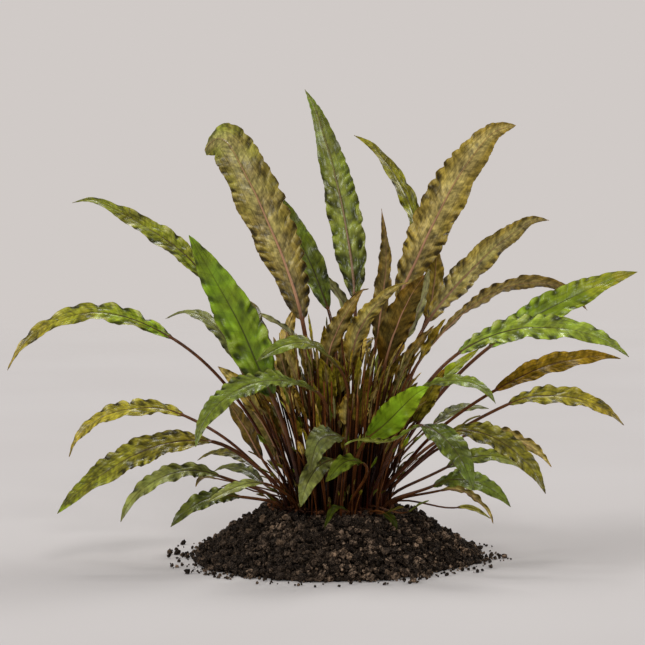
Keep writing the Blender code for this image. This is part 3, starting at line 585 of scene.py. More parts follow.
def grown(line, look, rng, coarse=1.0):
    """The skin of one leaf: a round stalk that flattens into a ruffled blade with a midrib below.

    Gives points, quads, triangles, and for each point what the leaf materials read.
    """
    leaf = settings("leaf")
    along, collar, centre, side, above = stations(line, leaf, coarse)
    past_collar, end = along - collar, along[-1]
    blade_share = np.clip(past_collar / (end - collar), 0, 1)
    core = leaf.stalk_share * line.stalk * (1.1 - 0.2 * along / end)
    core = core * (1 + 0.35 * np.exp(-along / (6 * MM))) * (1 - 0.80 * blade_share**0.6)
    half = np.maximum(core, line.half * outline(blade_share, look))
    flat = smooth(half / core, 1.0, 2.6)[:, None]
    size, rib = half[:, None], core[:, None]
    wings = max(4, round(line.half / (leaf.column * coarse)) + 2)
    columns = 2 * wings + 1
    rib_edge, rib_foot = np.minimum(0.6 * rib / size, 0.22), np.minimum(1.2 * rib / size, 0.40)
    wing = rib_foot + (1 - rib_foot) * (np.arange(1, wings - 1) / (wings - 2))[None] ** 0.92
    reach = np.hstack([wing[:, ::-1], rib_foot, rib_edge, 0 * size, rib_edge, rib_foot, wing])
    hand = np.sign(wings - np.arange(columns))[None]
    height, margin, relief = blade_form(line, look, rng, along, past_collar, blade_share, reach, hand, size)

    from_rib, u = reach * size, reach * hand
    height = height - 0.22 * MM * np.exp(-((from_rib / (1.1 * rib)) ** 2))
    thickness = leaf.thickness * (0.45 + 0.55 * np.sqrt(np.clip(1 - reach**6, 0, 1)))
    rib_round = np.sqrt(np.clip(1 - (from_rib / (1.2 * rib)) ** 2, 0, 1))
    rib_drop = rib_round * np.minimum(leaf.rib_height, rib)
    angle = np.pi * (np.arange(columns) + 0.5) / columns
    tube_x, tube_z = rib * np.cos(angle), rib * np.sin(angle)
    sheets = []
    for sign, lower in ((1, 0), (-1, 1)):
        blade_z = height + sign * thickness / 2 - lower * rib_drop
        x = tube_x + (u * margin - tube_x) * flat
        z = sign * tube_z + (blade_z - sign * tube_z) * flat
        sheets.append(centre[:, None] + side[:, None] * x[..., None] + above[:, None] * z[..., None])
    rings = round_ring(*sheets)
    rows, around = rings.shape[:2]

    ones = np.ones((rows, columns))
    tipward = blade_share ** (2 if look.old > 0 else 4)
    browning = (look.young * (1 - blade_share) ** 2 + look.old * tipward)[:, None] * ones
    painted_rib = (0.92 * rib + 6 * MM * (1 - flat)) * ones
    read = {
        "blade": [(u, past_collar[:, None] * ones, size * ones)] * 2,
        "growth": [(0 * ones, browning, 0.62 * painted_rib), (ones, browning, painted_rib)],
        "relief": [(relief * flat,), (-relief * flat,)],
    }
    attributes = {"finish": np.tile((look.tone, look.shine, look.stalk), (rows * around + 2, 1))}
    for name, (upper, under) in read.items():
        values = round_ring(np.stack(upper, axis=-1), np.stack(under, axis=-1)).reshape(rows * around, -1)
        attributes[name] = np.vstack([values, values[0], values[-1]])

    foot, tip = rows * around, rows * around + 1
    caps = np.vstack([cap_faces(foot, 0, around)[:, [0, 2, 1]], cap_faces(tip, foot - around, around)])
    vertices = np.vstack([rings.reshape(-1, 3), rings[[0, -1]].mean(axis=1)])
    return vertices, band_faces(rows, around), caps, attributes


def new_piece(name, mesh, finish, slot, *nodes):
    """A finished piece of the object, with its finish, its body and the nodes it stands for. The slot is not
    used.
    """
    mesh.materials.clear()
    mesh.materials.append(finish)
    piece = bpy.data.objects.new(name, mesh)
    bpy.context.scene.collection.objects.link(piece)
    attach(piece, "root")
    if nodes:
        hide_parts(*nodes)
    return piece


def new_mesh(name, points, *faces):
    """A mesh from an array of points and some arrays of faces."""
    mesh = bpy.data.meshes.new(name)
    mesh.from_pydata(points.tolist(), [], [face for some in faces for face in some.tolist()])
    return mesh


def joined(name, parts):
    """One mesh from parts that are each an array of points and some arrays of faces."""
    points, *kinds = zip(*parts)
    offsets = np.cumsum([0] + [len(some) for some in points])
    faces = [some + offset for kind in kinds for some, offset in zip(kind, offsets)]
    return new_mesh(name, np.vstack(points), *faces)


def leaf_mesh(name, parts):
    """A mesh of grown leaves, with what the leaf materials read."""
    mesh = joined(name, [part[:3] for part in parts])
    for label in parts[0][3]:
        values = np.vstack([part[3][label] for part in parts])
        kind, field = ("FLOAT_VECTOR", "vector") if values.shape[1] == 3 else ("FLOAT", "value")
        made = mesh.attributes.new(label, kind, "POINT")
        made.data.foreach_set(field, values.astype(np.float32).ravel())
    mesh.shade_smooth()
    mesh.set_sharp_from_angle(angle=SHARP)
    return mesh


def seeded(name):
    """A random generator that is the same for a name at every run."""
    return np.random.default_rng(sum((i + 1) * ord(letter) for i, letter in enumerate(name)))


class Nodes:
    """Short calls that fill one node tree."""

    def __init__(self, tree):
        self.tree = tree
        tree.nodes.clear()

    def add(self, kind, inputs=None, **choices):
        made = self.tree.nodes.new(kind)
        column, row = divmod(len(self.tree.nodes), 5)
        made.location = (190 * column, -190 * row)
        for key, value in choices.items():
            setattr(made, key, value)
        for key, value in (inputs or {}).items():
            self.feed(made, key, value)
        return made

    def feed(self, node, key, value):
        """Links or sets an input, which is named or, where names repeat, numbered."""
        if isinstance(key, int):
            socket = node.inputs[key]
        else:
            socket = next(s for s in node.inputs if s.name == key and s.enabled)
        if isinstance(value, bpy.types.Node):
            value = next(s for s in value.outputs if s.enabled)
        if isinstance(value, bpy.types.NodeSocket):
            self.tree.links.new(value, socket)
        elif socket.type == "RGBA":
            socket.default_value = (*value[:3], 1.0)
        else:
            socket.default_value = value

    def math(self, operation, first, second=0.0, clamp=False):
        return self.add("ShaderNodeMath", {0: first, 1: second}, operation=operation, use_clamp=clamp)

    def times(self, first, second, clamp=False):
        return self.math("MULTIPLY", first, second, clamp)

    def plus(self, first, second):
        return self.math("ADD", first, second)

    def minus(self, first, second):
        return self.math("SUBTRACT", first, second)

    def step(self, value, low, high, at_low=0.0, at_high=1.0):
        """An even S from one value to the other between low and high."""
        ends = {"Value": value, "From Min": low, "From Max": high, "To Min": at_low, "To Max": at_high}
        return self.add("ShaderNodeMapRange", ends, interpolation_type="SMOOTHSTEP").outputs[0]

    def mix(self, factor, first, second, blend="MIX"):
        made = self.add("ShaderNodeMix", {0: factor, 6: first, 7: second}, data_type="RGBA", blend_type=blend)
        return made.outputs[2]

    def tinted(self, base, tint):
        return self.mix(1.0, base, tint, "MULTIPLY")

    def toned(self, base, value, hue=0.5):
        wanted = {"Hue": hue, "Saturation": 1.0, "Value": value, "Color": base}
        return self.add("ShaderNodeHueSaturation", wanted).outputs["Color"]

    def attribute(self, name):
        return self.add("ShaderNodeAttribute", attribute_name=name).outputs

    def noise(self, where, scale, detail=2.0, roughness=0.5):
        return self.add("ShaderNodeTexNoise", {"Vector": where, "Scale": scale, "Detail": detail,
                                               "Roughness": roughness}).outputs["Fac"]

    def parts(self, vector):
        return self.add("ShaderNodeSeparateXYZ", {0: vector}).outputs

    def vector(self, x, y, z):
        return self.add("ShaderNodeCombineXYZ", {0: x, 1: y, 2: z})


def new_group(name, kind, inputs, outputs):
    """A node group with its interface. Gives the filler, the group's inputs and its output node."""
    tree = bpy.data.node_groups.new(name, kind)
    for direction, sockets in (("INPUT", inputs), ("OUTPUT", outputs)):
        for label, value in sockets.items():
            tree.interface.new_socket(name=label, in_out=direction, socket_type="NodeSocket" + value)
    nodes = Nodes(tree)
    return nodes, nodes.add("NodeGroupInput").outputs, nodes.add("NodeGroupOutput")


SURFACE = {"Colour": "Color", "Roughness": "Float", "Height": "Float"}


def leaf_surface():
    """The surface of a leaf: colour, roughness and relief from its veins, browning and midrib, with painted
    shade in its hollows and painted highlight on its crests.
    """
    known = bpy.data.node_groups.get("Leaf surface")
    if known:
        return known
    inputs = dict.fromkeys(("Face", "Back", "Aged", "Fresh", "Sheen", "Face rib", "Back rib", "Stalk",
                            "Stalk foot"), "Color") | {"Vein spacing": "Float", "Crinkle": "Float"}
    n, given, result = new_group("Leaf surface", "ShaderNodeTree", inputs, SURFACE)
    # The first tint darkens the painted shade in hollows and beside the midrib; the others tint the veins,
    # the margin and the midrib's tip.
    shade_tint, on_veins, on_margin, on_rib_tip = (
        (0.36, 0.32, 0.20), (0.42, 0.36, 0.25), (0.55, 0.50, 0.50), (0.85, 0.75, 0.65))

    def creased(pattern, low, high, swing):
        """A pattern through plus and minus the swing, as far as this family of leaves is crinkled."""
        return n.times(given["Crinkle"], n.step(pattern, low, high, -swing, swing))

    def apart(value, other):
        return n.math("ABSOLUTE", n.minus(value, other))

    where = n.add("ShaderNodeTexCoord").outputs["Object"]
    side, past_collar, half = n.parts(n.attribute("blade")["Vector"])
    under, browning, rib_width = n.parts(n.attribute("growth")["Vector"])
    relief = n.attribute("relief")["Fac"]
    tone, shine, stalk_tone = n.parts(n.attribute("finish")["Vector"])
    reach, across = n.math("ABSOLUTE", side), n.times(side, half)
    from_rib = n.times(reach, half)
    veined = n.minus(past_collar, n.times(from_rib, VEIN_SLANT))

    broad, fine, pebbles = n.noise(where, 75.0, 3.0), n.noise(where, 1100.0), n.noise(where, 230.0)
    streak = n.noise(n.vector(n.times(veined, 360.0), n.times(across, 260.0), under), 1.0)
    grain = n.noise(n.vector(n.times(past_collar, 220.0), n.times(across, 1100.0), under), 1.0)

    base = n.mix(under, given["Face"], given["Back"])
    ageing = n.times(browning, n.step(broad, 0.34, 0.60, 0.35, 1.6), clamp=True)
    base = n.mix(ageing, base, given["Aged"])
    freshness = n.times(browning, n.step(broad, 0.30, 0.62, -0.6, -1.4), clamp=True)
    base = n.mix(freshness, base, given["Fresh"])
    # Painted sheen: the underside is paler near the midrib, as far as the leaf's shine says.
    back_sheen = n.times(n.times(under, shine), n.step(reach, 0.75, 0.20, 0.0, 0.60))
    base = n.mix(back_sheen, base, given["Sheen"])

    mottle = n.plus(n.step(broad, 0.28, 0.72, 0.70, 1.24), creased(streak, 0.30, 0.70, 0.14))
    mottle = n.plus(mottle, creased(pebbles, 0.32, 0.68, 0.16))
    rough_relief = n.plus(relief, creased(streak, 0.25, 0.75, 0.28))
    light = n.times(tone, n.plus(mottle, creased(grain, 0.32, 0.68, 0.18)))
    # Painted shade and highlight: the colour is darker in the relief's hollows and lighter on its crests.
    light = n.times(light, n.step(rough_relief, -0.8, 0.9, 0.38, 1.62))
    level = n.add("ShaderNodeVectorMath", {0: where, 1: (1.0, 1.0, 0.0)}, operation="MULTIPLY")
    from_axis = n.add("ShaderNodeVectorMath", {0: level}, operation="LENGTH").outputs["Value"]
    # Painted shade: blades are darker near their collars where these lie close to the clump's axis, inside
    # the crowd of leaves.
    near_collar = n.step(past_collar, 52 * MM, 0.0, 0.0, 0.55)
    shaded = n.times(n.step(from_axis, 105 * MM, 45 * MM), near_collar)
    light = n.times(light, n.minus(1.0, shaded))
    base = n.toned(base, light, n.step(broad, 0.3, 0.7, 0.488, 0.508))

    # Painted shade: the troughs of the margins' waves and the hollows of the relief are darkened.
    trough_shade = n.times(n.step(reach, 0.50, 0.85), n.step(rough_relief, -0.05, -0.80, 0.0, 0.85))
    trough_shade = n.times(trough_shade, n.step(given["Crinkle"], 0.0, 1.0, 0.45, 1.0))
    hollow = n.math("MAXIMUM", trough_shade, n.step(rough_relief, -0.2, -1.2, 0.0, 0.5))
    base = n.mix(hollow, base, n.tinted(base, shade_tint))
    # Painted highlight: the crests of the relief are mixed towards the sheen colour, as far as the leaf's
    # shine says.
    crest = n.times(n.step(rough_relief, 0.25, 0.95), n.step(fine, 0.35, 0.62, 0.35, 1.15))
    base = n.mix(n.times(crest, shine, clamp=True), base, given["Sheen"])

    drifting = n.plus(n.math("DIVIDE", veined, given["Vein spacing"]), n.times(broad, 0.9))
    side_vein = n.step(apart(n.math("FRACT", drifting), 0.5), 0.455, 0.5, 0.0, 0.6)
    inner, outer = (n.step(apart(reach, at), width, 0.0) for at, width in zip(LONG_VEINS, (0.030, 0.025)))
    vein = n.math("MAXIMUM", side_vein, n.times(given["Crinkle"], n.math("MAXIMUM", inner, outer)))
    base = n.mix(n.times(vein, 0.60), base, n.tinted(base, on_veins))
    base = n.mix(n.step(reach, 0.93, 1.0, 0.0, 0.35), base, n.tinted(given["Aged"], on_margin))

    rib = n.mix(under, given["Face rib"], given["Back rib"])
    tipward = n.step(n.math("DIVIDE", past_collar, n.plus(half, 1 * MM)), 2.5, 10.0, 0.0, 0.75)
    rib = n.mix(tipward, rib, n.tinted(base, on_rib_tip))
    stalk = n.mix(n.step(past_collar, -75 * MM, -5 * MM), given["Stalk foot"], given["Stalk"])
    # Painted shade: stalks are darker low down and near the clump's axis, where the crowd of stalks shades
    # them.
    high_up, far_out = n.step(n.parts(where)[2], 36 * MM, 105 * MM), n.step(from_axis, 20 * MM, 50 * MM)
    painted_heart_shade = n.plus(0.15, n.times(n.math("MAXIMUM", high_up, far_out), 0.85))
    patches = n.step(n.noise(where, 260.0, 3.0), 0.3, 0.7, 0.7, 1.4)
    stalk = n.toned(stalk, n.times(n.times(patches, painted_heart_shade), stalk_tone))
    rib = n.mix(n.step(past_collar, -4 * MM, 18 * MM), stalk, rib)
    rib_widths = n.math("DIVIDE", from_rib, n.math("MAXIMUM", rib_width, 0.05 * MM))
    # Painted shade in the groove beside the midrib.
    base = n.mix(n.times(n.step(rib_widths, 2.0, 1.1), 0.40), base, n.tinted(base, shade_tint))
    n.feed(result, "Colour", n.mix(n.step(rib_widths, 1.15, 0.75), base, rib))
    n.feed(result, "Roughness", n.minus(n.step(fine, 0.2, 0.8, 0.24, 0.42), n.times(crest, 0.08)))
    height = n.plus(n.plus(n.times(fine, 0.30), n.times(streak, 0.7)), n.times(grain, 0.35))
    n.feed(result, "Height", n.minus(height, n.times(vein, 0.5)))
    return n.tree


def new_material(name, seen):
    """An empty material, with the colour that the solid view shows."""
    made = bpy.data.materials.new(name)
    made.use_nodes = True
    made.diffuse_color = (*seen[:3], 1.0)
    return made, Nodes(made.node_tree)


def surfaced(name, seen, tree, wanted, depth, gloss):
    """A material that takes its colour, roughness and bumps from a node group."""
    made, nodes = new_material(name, seen)
    group = nodes.add("ShaderNodeGroup", wanted, node_tree=tree).outputs
    bump = nodes.add("ShaderNodeBump", {"Strength": 1.0, "Distance": depth, "Height": group["Height"]})
    shader = nodes.add("ShaderNodeBsdfPrincipled", {
        "Base Color": group["Colour"], "Roughness": group["Roughness"], "Normal": bump,
        "Specular IOR Level": gloss})
    nodes.add("ShaderNodeOutputMaterial", {"Surface": shader})
    return made


def leaf_material(family, dull=False):
    """The finish of one family of leaves, made once."""
    name = family + ("_dull" if dull else "_grown")
    known = bpy.data.materials.get(name)
    if known:
        return known
    chosen, leaf = settings(family), settings("leaf")
    wanted = {label.replace("_", " ").capitalize(): getattr(source, label) for source, labels in (
        (chosen, ("face", "back", "aged", "sheen", "face_rib", "back_rib", "crinkle")),
        (leaf, ("fresh", "stalk", "stalk_foot", "vein_spacing"))) for label in labels}
    return surfaced(name, chosen.face, leaf_surface(), wanted, 0.20 * MM, 0.05 if dull else chosen.gloss)


class LeafBunch:
    """What the operators for the large leaves share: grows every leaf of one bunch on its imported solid."""

    def execute(self, context):
        names = sorted(name for name in frame["nodes"] if name.startswith("leaf_" + self.bunch + "_"))
        if not names:
            raise RuntimeError(f"The packed model has no leaves in bunch {self.bunch}")
        for name in names:
            node = frame["nodes"][name]
            family = node.data.materials[0].name
            look = LOOKS.get(name.removeprefix("leaf_"), Look())
            mesh = leaf_mesh(name + "_grown", [grown(line_of(node), look, seeded(name))])
            if len(mesh.polygons) > MOST_FACES:
                raise RuntimeError(f"{mesh.name} has too many faces")
            new_piece(mesh.name, mesh, leaf_material(family, look.shine < DULL_SHINE), family, name)
        return {"FINISHED"}


class CRYPTOCORYNE_OT_left_leaves(LeafBunch, bpy.types.Operator):
    """Grow the leaves that arch to the left"""

    bl_idname = "cryptocoryne.left_leaves"
    bl_label = "Left leaves"
    bunch = "left"


class CRYPTOCORYNE_OT_upright_leaves(LeafBunch, bpy.types.Operator):
    """Grow the leaves that stand up"""

    bl_idname = "cryptocoryne.upright_leaves"
    bl_label = "Upright leaves"
    bunch = "upright"


class CRYPTOCORYNE_OT_heart_leaves(LeafBunch, bpy.types.Operator):
    """Grow the short leaves in the heart of the clump"""

    bl_idname = "cryptocoryne.heart_leaves"
    bl_label = "Heart leaves"
    bunch = "heart"


class CRYPTOCORYNE_OT_front_leaves(LeafBunch, bpy.types.Operator):
    """Grow the leaves that bend forwards"""

    bl_idname = "cryptocoryne.front_leaves"
    bl_label = "Front leaves"
    bunch = "front"


class CRYPTOCORYNE_OT_right_leaves(LeafBunch, bpy.types.Operator):
    """Grow the leaves that arch to the right"""

    bl_idname = "cryptocoryne.right_leaves"
    bl_label = "Right leaves"
    bunch = "right"


class CRYPTOCORYNE_OT_back_leaves(LeafBunch, bpy.types.Operator):
    """Grow the leaves on the far side"""

    bl_idname = "cryptocoryne.back_leaves"
    bl_label = "Back leaves"
    bunch = "back"


def short_line(foot, middle, midrib, across, turn, half, stalk):
    """A line from a foot over a middle point to the collar and then along the midrib.

    The blade lies in the direction across, and is then turned about its midrib.
    """
    points = np.vstack([foot, middle, midrib])
    sides = []
    for direction in unit(np.gradient(points, axis=0)):
        side = unit(across - direction * float(across @ direction))
        sides.append(side * math.cos(turn) + np.cross(direction, side) * math.sin(turn))
    return Line(points, carried_sides(points, 2, sides), 2, half, stalk)


def small_line(rng, midrib, half):
    """The line of a small leaf, whose foot stands on the rootstock below its collar."""
    foot = unit(midrib[0] * (1, 1, 0)) * rng.uniform(20, 30) * MM + (0, 0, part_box("rootstock")[1].z)
    rise = midrib[0] - foot
    bow = np.array((-0.10 * rise[0], -0.10 * rise[1], 0.06 * np.linalg.norm(rise)))
    heading = (midrib[-1] - foot) * (1, 1, 0)
    level = unit(np.cross((0, 0, 1), heading + (0, 1e-6, 0)))
    return short_line(foot, foot + rise * 0.5 + bow, midrib, level, SMALL_TURN, half, SMALL_STALK)


class CRYPTOCORYNE_OT_small_leaves(bpy.types.Operator):
    """Grow the small leaves that stand among the large ones"""

    bl_idname = "cryptocoryne.small_leaves"
    bl_label = "Small leaves"

    def execute(self, context):
        rng = seeded("small leaves")
        grouped = {}
        for midrib, width, family, look in SMALL_LEAVES:
            line = small_line(rng, np.array([place(*point) for point in midrib]), width * MM / 2)
            grouped.setdefault(family, []).append(grown(line, look, rng))
        for family, parts in sorted(grouped.items()):
            name = "small_" + family
            new_piece(name, leaf_mesh(name, parts), leaf_material(family), family)
        return {"FINISHED"}


def upward_line(rng, foot, height, lean, bearing, blade, half, stalk):
    """A young shoot: up from its foot with a slight bow, then a small blade that leans further out."""
    outward = np.array((math.cos(bearing), math.sin(bearing), 0))
    sway = np.cross((0, 0, 1), outward) * rng.uniform(-0.06, 0.06) * height
    out = outward * height * math.tan(lean)
    collar_at = foot + out + (0, 0, height) + sway
    middle = foot + out * 0.36 + (0, 0, 0.52 * height) + sway * rng.uniform(0.2, 1.3)
    heading = unit(outward * math.sin(1.5 * lean) + (0, 0, math.cos(1.5 * lean)))
    droop = rng.uniform(0.1, 0.5)
    steps = np.array((0.0, 0.35, 0.7, 1.0))[:, None]
    midrib = collar_at + heading * blade * steps + (outward * 0.35 - (0, 0, 0.5)) * droop * blade * steps**2
    facing = rng.uniform(0, TURN)
    across = np.array((math.cos(facing), math.sin(facing), 0))
    return short_line(foot, middle, midrib, across, 0.0, half, stalk)


class CRYPTOCORYNE_OT_young_shoots(bpy.types.Operator):
    """Grow the close crowd of young shoots in the heart of the clump"""

    bl_idname = "cryptocoryne.young_shoots"
    bl_label = "Young shoots"

    def execute(self, context):
        shoots = settings("shoots")
        rng = seeded("young shoots")
        foot_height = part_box("young_shoots")[0].z - 1 * MM
        # Stalks draw from all of these, and the broader blades from all but the last two.
        families = ("leaf_brown", "leaf_olive") * 3 + ("leaf_grey_green", "leaf_bright")
        grouped = {family: [] for family in ("leaf_brown", "leaf_olive", "leaf_grey_green", "leaf_bright")}
        for i in range(shoots.stalks + shoots.blades):
            broad = i >= shoots.stalks
            bearing = rng.uniform(0, TURN)
            distance = shoots.spread * rng.uniform(0.05, 1) ** 0.65
            x, y = distance * math.cos(bearing) * 1.15 + 3 * MM, distance * math.sin(bearing)
            height = rng.uniform() ** 1.5
            height = 0.15 + 0.62 * height if broad else height
            height = shoots.lowest + (shoots.highest - shoots.lowest) * height
            lean = 0.02 + 0.26 * distance / shoots.spread + rng.uniform(-0.10, 0.14)
            lean *= 1 + 0.5 * min(0.0, math.sin(bearing))
            blade = rng.uniform(*((24, 46) if broad else (8, 26))) * MM
            half = rng.uniform(*((3.0, 6.8) if broad else (0.8, 2.2))) * MM
            stalk = shoots.radius * rng.uniform(0.65, 1.6)
            line = upward_line(rng, np.array((x, y, foot_height)), height, lean, bearing, blade, half, stalk)
            look = Look(ruffle=1.2, pucker=0.9, wave=6.5, young=rng.uniform(0.3, 1.0),
                        old=rng.uniform(0.1, 0.9), tone=0.95 + 2.8 * rng.uniform() ** 1.5, shine=0.6,
                        stalk=0.3 + 2.4 * rng.uniform() ** 2.5)
            family = families[int(rng.integers(len(families) - 2 * broad))]
            grouped[family].append(grown(line, look, rng, YOUNG_COARSE))
        for _ in range(shoots.sprouts):
            bearing = rng.uniform(0, TURN)
            distance = rng.uniform(18, 36) * MM
            foot = np.array((distance * math.cos(bearing), distance * math.sin(bearing), foot_height))
            line = upward_line(rng, foot, rng.uniform(3, 40) * MM, rng.uniform(0.1, 0.7), bearing,
                               rng.uniform(3, 11) * MM, rng.uniform(0.4, 1.5) * MM, 0.35 * MM)
            look = Look(ruffle=1.2, pucker=0.5, wave=5, young=0.2, old=0.0,
                        tone=rng.uniform(0.8, 1.8), stalk=1.3)
            family = "leaf_bright" if rng.uniform() < 0.5 else "leaf_olive"
            grouped[family].append(grown(line, look, rng, YOUNG_COARSE))
        stands_for = ("young_shoots",)
        for family, parts in grouped.items():
            name = "shoots_" + family
            new_piece(name, leaf_mesh(name, parts), leaf_material(family, True), "young_shoots", *stands_for)
            stands_for = ()
        return {"FINISHED"}


def rough_group():
    """Colour, roughness and height of a rough dull stuff such as soil or bark, made once, with painted shade
    in the low spots of its pores and pale painted highlight specks on their high spots.
    """
    known = bpy.data.node_groups.get("Rough stuff")
    if known:
        return known
    inputs = {"Dark": "Color", "Pale": "Color", "Odd": "Color", "Scale": "Float", "Speck": "Float"}
    n, given, result = new_group("Rough stuff", "ShaderNodeTree", inputs, SURFACE)
    where = n.add("ShaderNodeTexCoord").outputs["Object"]
    across, _, up = n.parts(where)
    each = n.attribute("grain")["Fac"]
    broad = n.noise(where, given["Scale"], 4.0, 0.6)
    pores = n.noise(where, n.times(given["Scale"], 4.0), 3.0, 0.65)
    # The granules are paler towards the right and low down on the mound, as well as in random patches.
    low_right = n.times(n.step(across, -45 * MM, 20 * MM), n.step(up, 26 * MM, 8 * MM, 0.0, 0.40))
    patches = n.plus(n.step(n.noise(where, 22.0), 0.35, 0.65, 0.20, 0.75), low_right)
    pale_share = n.times(n.step(each, 0.30, 1.0, 0.06, 0.95), patches)
    base = n.mix(n.times(n.step(broad, 0.44, 0.66), pale_share), given["Dark"], given["Pale"])
    base = n.toned(base, n.step(each, 0.3, 1.0, 0.70, 2.3))
    # Painted highlight: specks of the pale colour on the high spots of the pores, which on the soil stand in
    # for glints.
    base = n.mix(n.times(n.step(pores, 0.55, 0.67), given["Speck"]), base, given["Pale"])
    # Painted shade in the low spots of the pores.
    base = n.mix(n.step(pores, 0.53, 0.40), base, n.tinted(base, (0.30, 0.30, 0.30)))
    odd = n.times(n.step(each, 0.965, 0.98), n.step(broad, 0.35, 0.65, 0.1, 0.6))
    base = n.mix(odd, base, given["Odd"])
    n.feed(result, "Colour", base)
    n.feed(result, "Roughness", n.step(pores, 0.3, 0.7, 0.95, 0.70))
    n.feed(result, "Height", n.plus(pores, n.times(broad, 0.6)))
    return n.tree


def rough_surface(name, first, second, scale, speck, odd=(0.1, 0.1, 0.1)):
    """A material of rough stuff."""
    wanted = {"Dark": first, "Pale": second, "Odd": odd, "Scale": scale, "Speck": speck}
    return surfaced(name, first, rough_group(), wanted, 0.50 * MM, 0.12)


def ring_rows(shares, angles, at):
    """The points of at(share, angle), ring by ring, and quads between the rings that look up."""
    points = np.array([at(share, angle) for share in shares for angle in angles], float)
    return points, band_faces(len(shares), len(angles))[:, [0, 3, 2, 1]]


def ring_mesh(name, shares, angles, at):
    """A flat ring of faces that look up."""
    return new_mesh(name, *ring_rows(shares, angles, at))


def polar_grid(name, shares, angles, at):
    """A round surface through at(share of the radius, angle), and its flat underside, closed."""
    points, bands = ring_rows(shares, angles, at)
    count, middle = len(angles), len(points)
    vertices = np.vstack([points, points[:count].mean(axis=0), points[-count:] * (1, 1, 0)])
    last, below, k = middle - count, middle + 1, np.arange(count)
    after = (k + 1) % count
    wall = np.stack([last + k, below + k, below + after, last + after], axis=-1)
    mesh = new_mesh(name, vertices, cap_faces(middle, 0, count), bands, wall, below + k[None, ::-1])
    shaped = bmesh.new()
    shaped.from_mesh(mesh)
    bmesh.ops.recalc_face_normals(shaped, faces=shaped.faces)
    shaped.to_mesh(mesh)
    shaped.free()
    mesh.shade_smooth()
    return mesh


def mound_reader():
    """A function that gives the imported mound's outer surface at a share of its radius and an angle."""
    points, triangles = welded(frame["nodes"]["soil_mound"].data)
    tree = BVHTree.FromPolygons(points.tolist(), triangles.tolist())
    toe, outside, overhead, down = Vector((0, 0, 1.0 * MM)), 0.2, 0.1, Vector((0, 0, -1))
    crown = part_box("rootstock")[1]

    def read(share, angle, sunk=0.0):
        out = Vector((math.cos(angle), math.sin(angle), 0))
        hit = tree.ray_cast(out * outside + toe, -out)[0]
        radius = (math.hypot(hit.x, hit.y) - sunk) * share
        above = tree.ray_cast(Vector((out.x * radius, out.y * radius, overhead)), down)[0]
        height = above.z if above else 0.0
        if radius < 1.06 * crown.x:
            height = max(height, crown.z - 0.6 * MM)
        return np.array((out.x * radius, out.y * radius, max(height - sunk, 0.3 * MM)))

    return read


def grain_shapes(name, points, count, rough):
    """Rounded uneven lumps of unit diameter, of few faces each, in a collection of their own."""
    rng = seeded(name)
    group = bpy.data.collections.new(name)
    for i in range(count):
        shaped = bmesh.new()
        for k in range(points):
            z = 1 - 2 * (k + 0.5) / points
            turn = k * GOLDEN_TURN + rng.uniform(-0.25, 0.25)
            flat = math.sqrt(1 - z * z)
            shaped.verts.new(Vector((flat * math.cos(turn), flat * math.sin(turn), z)) * 0.5)
        bmesh.ops.convex_hull(shaped, input=list(shaped.verts))
        stretch = Vector((rng.uniform(0.85, 1.15), rng.uniform(0.85, 1.15), rng.uniform(0.75, 1.0)))
        apart = Vector((i * 7.1, 0, 0))
        for vertex in shaped.verts:
            bump = 1 + rough * noise.noise(vertex.co * 3.8 + apart) + rng.uniform(-0.13, 0.13)
            vertex.co = vertex.co * stretch * bump
        bmesh.ops.recalc_face_normals(shaped, faces=shaped.faces)
        mesh = bpy.data.meshes.new(f"{name}_{i}")
        shaped.to_mesh(mesh)
        shaped.free()
        group.objects.link(bpy.data.objects.new(f"{name}_{i}", mesh))
    return group


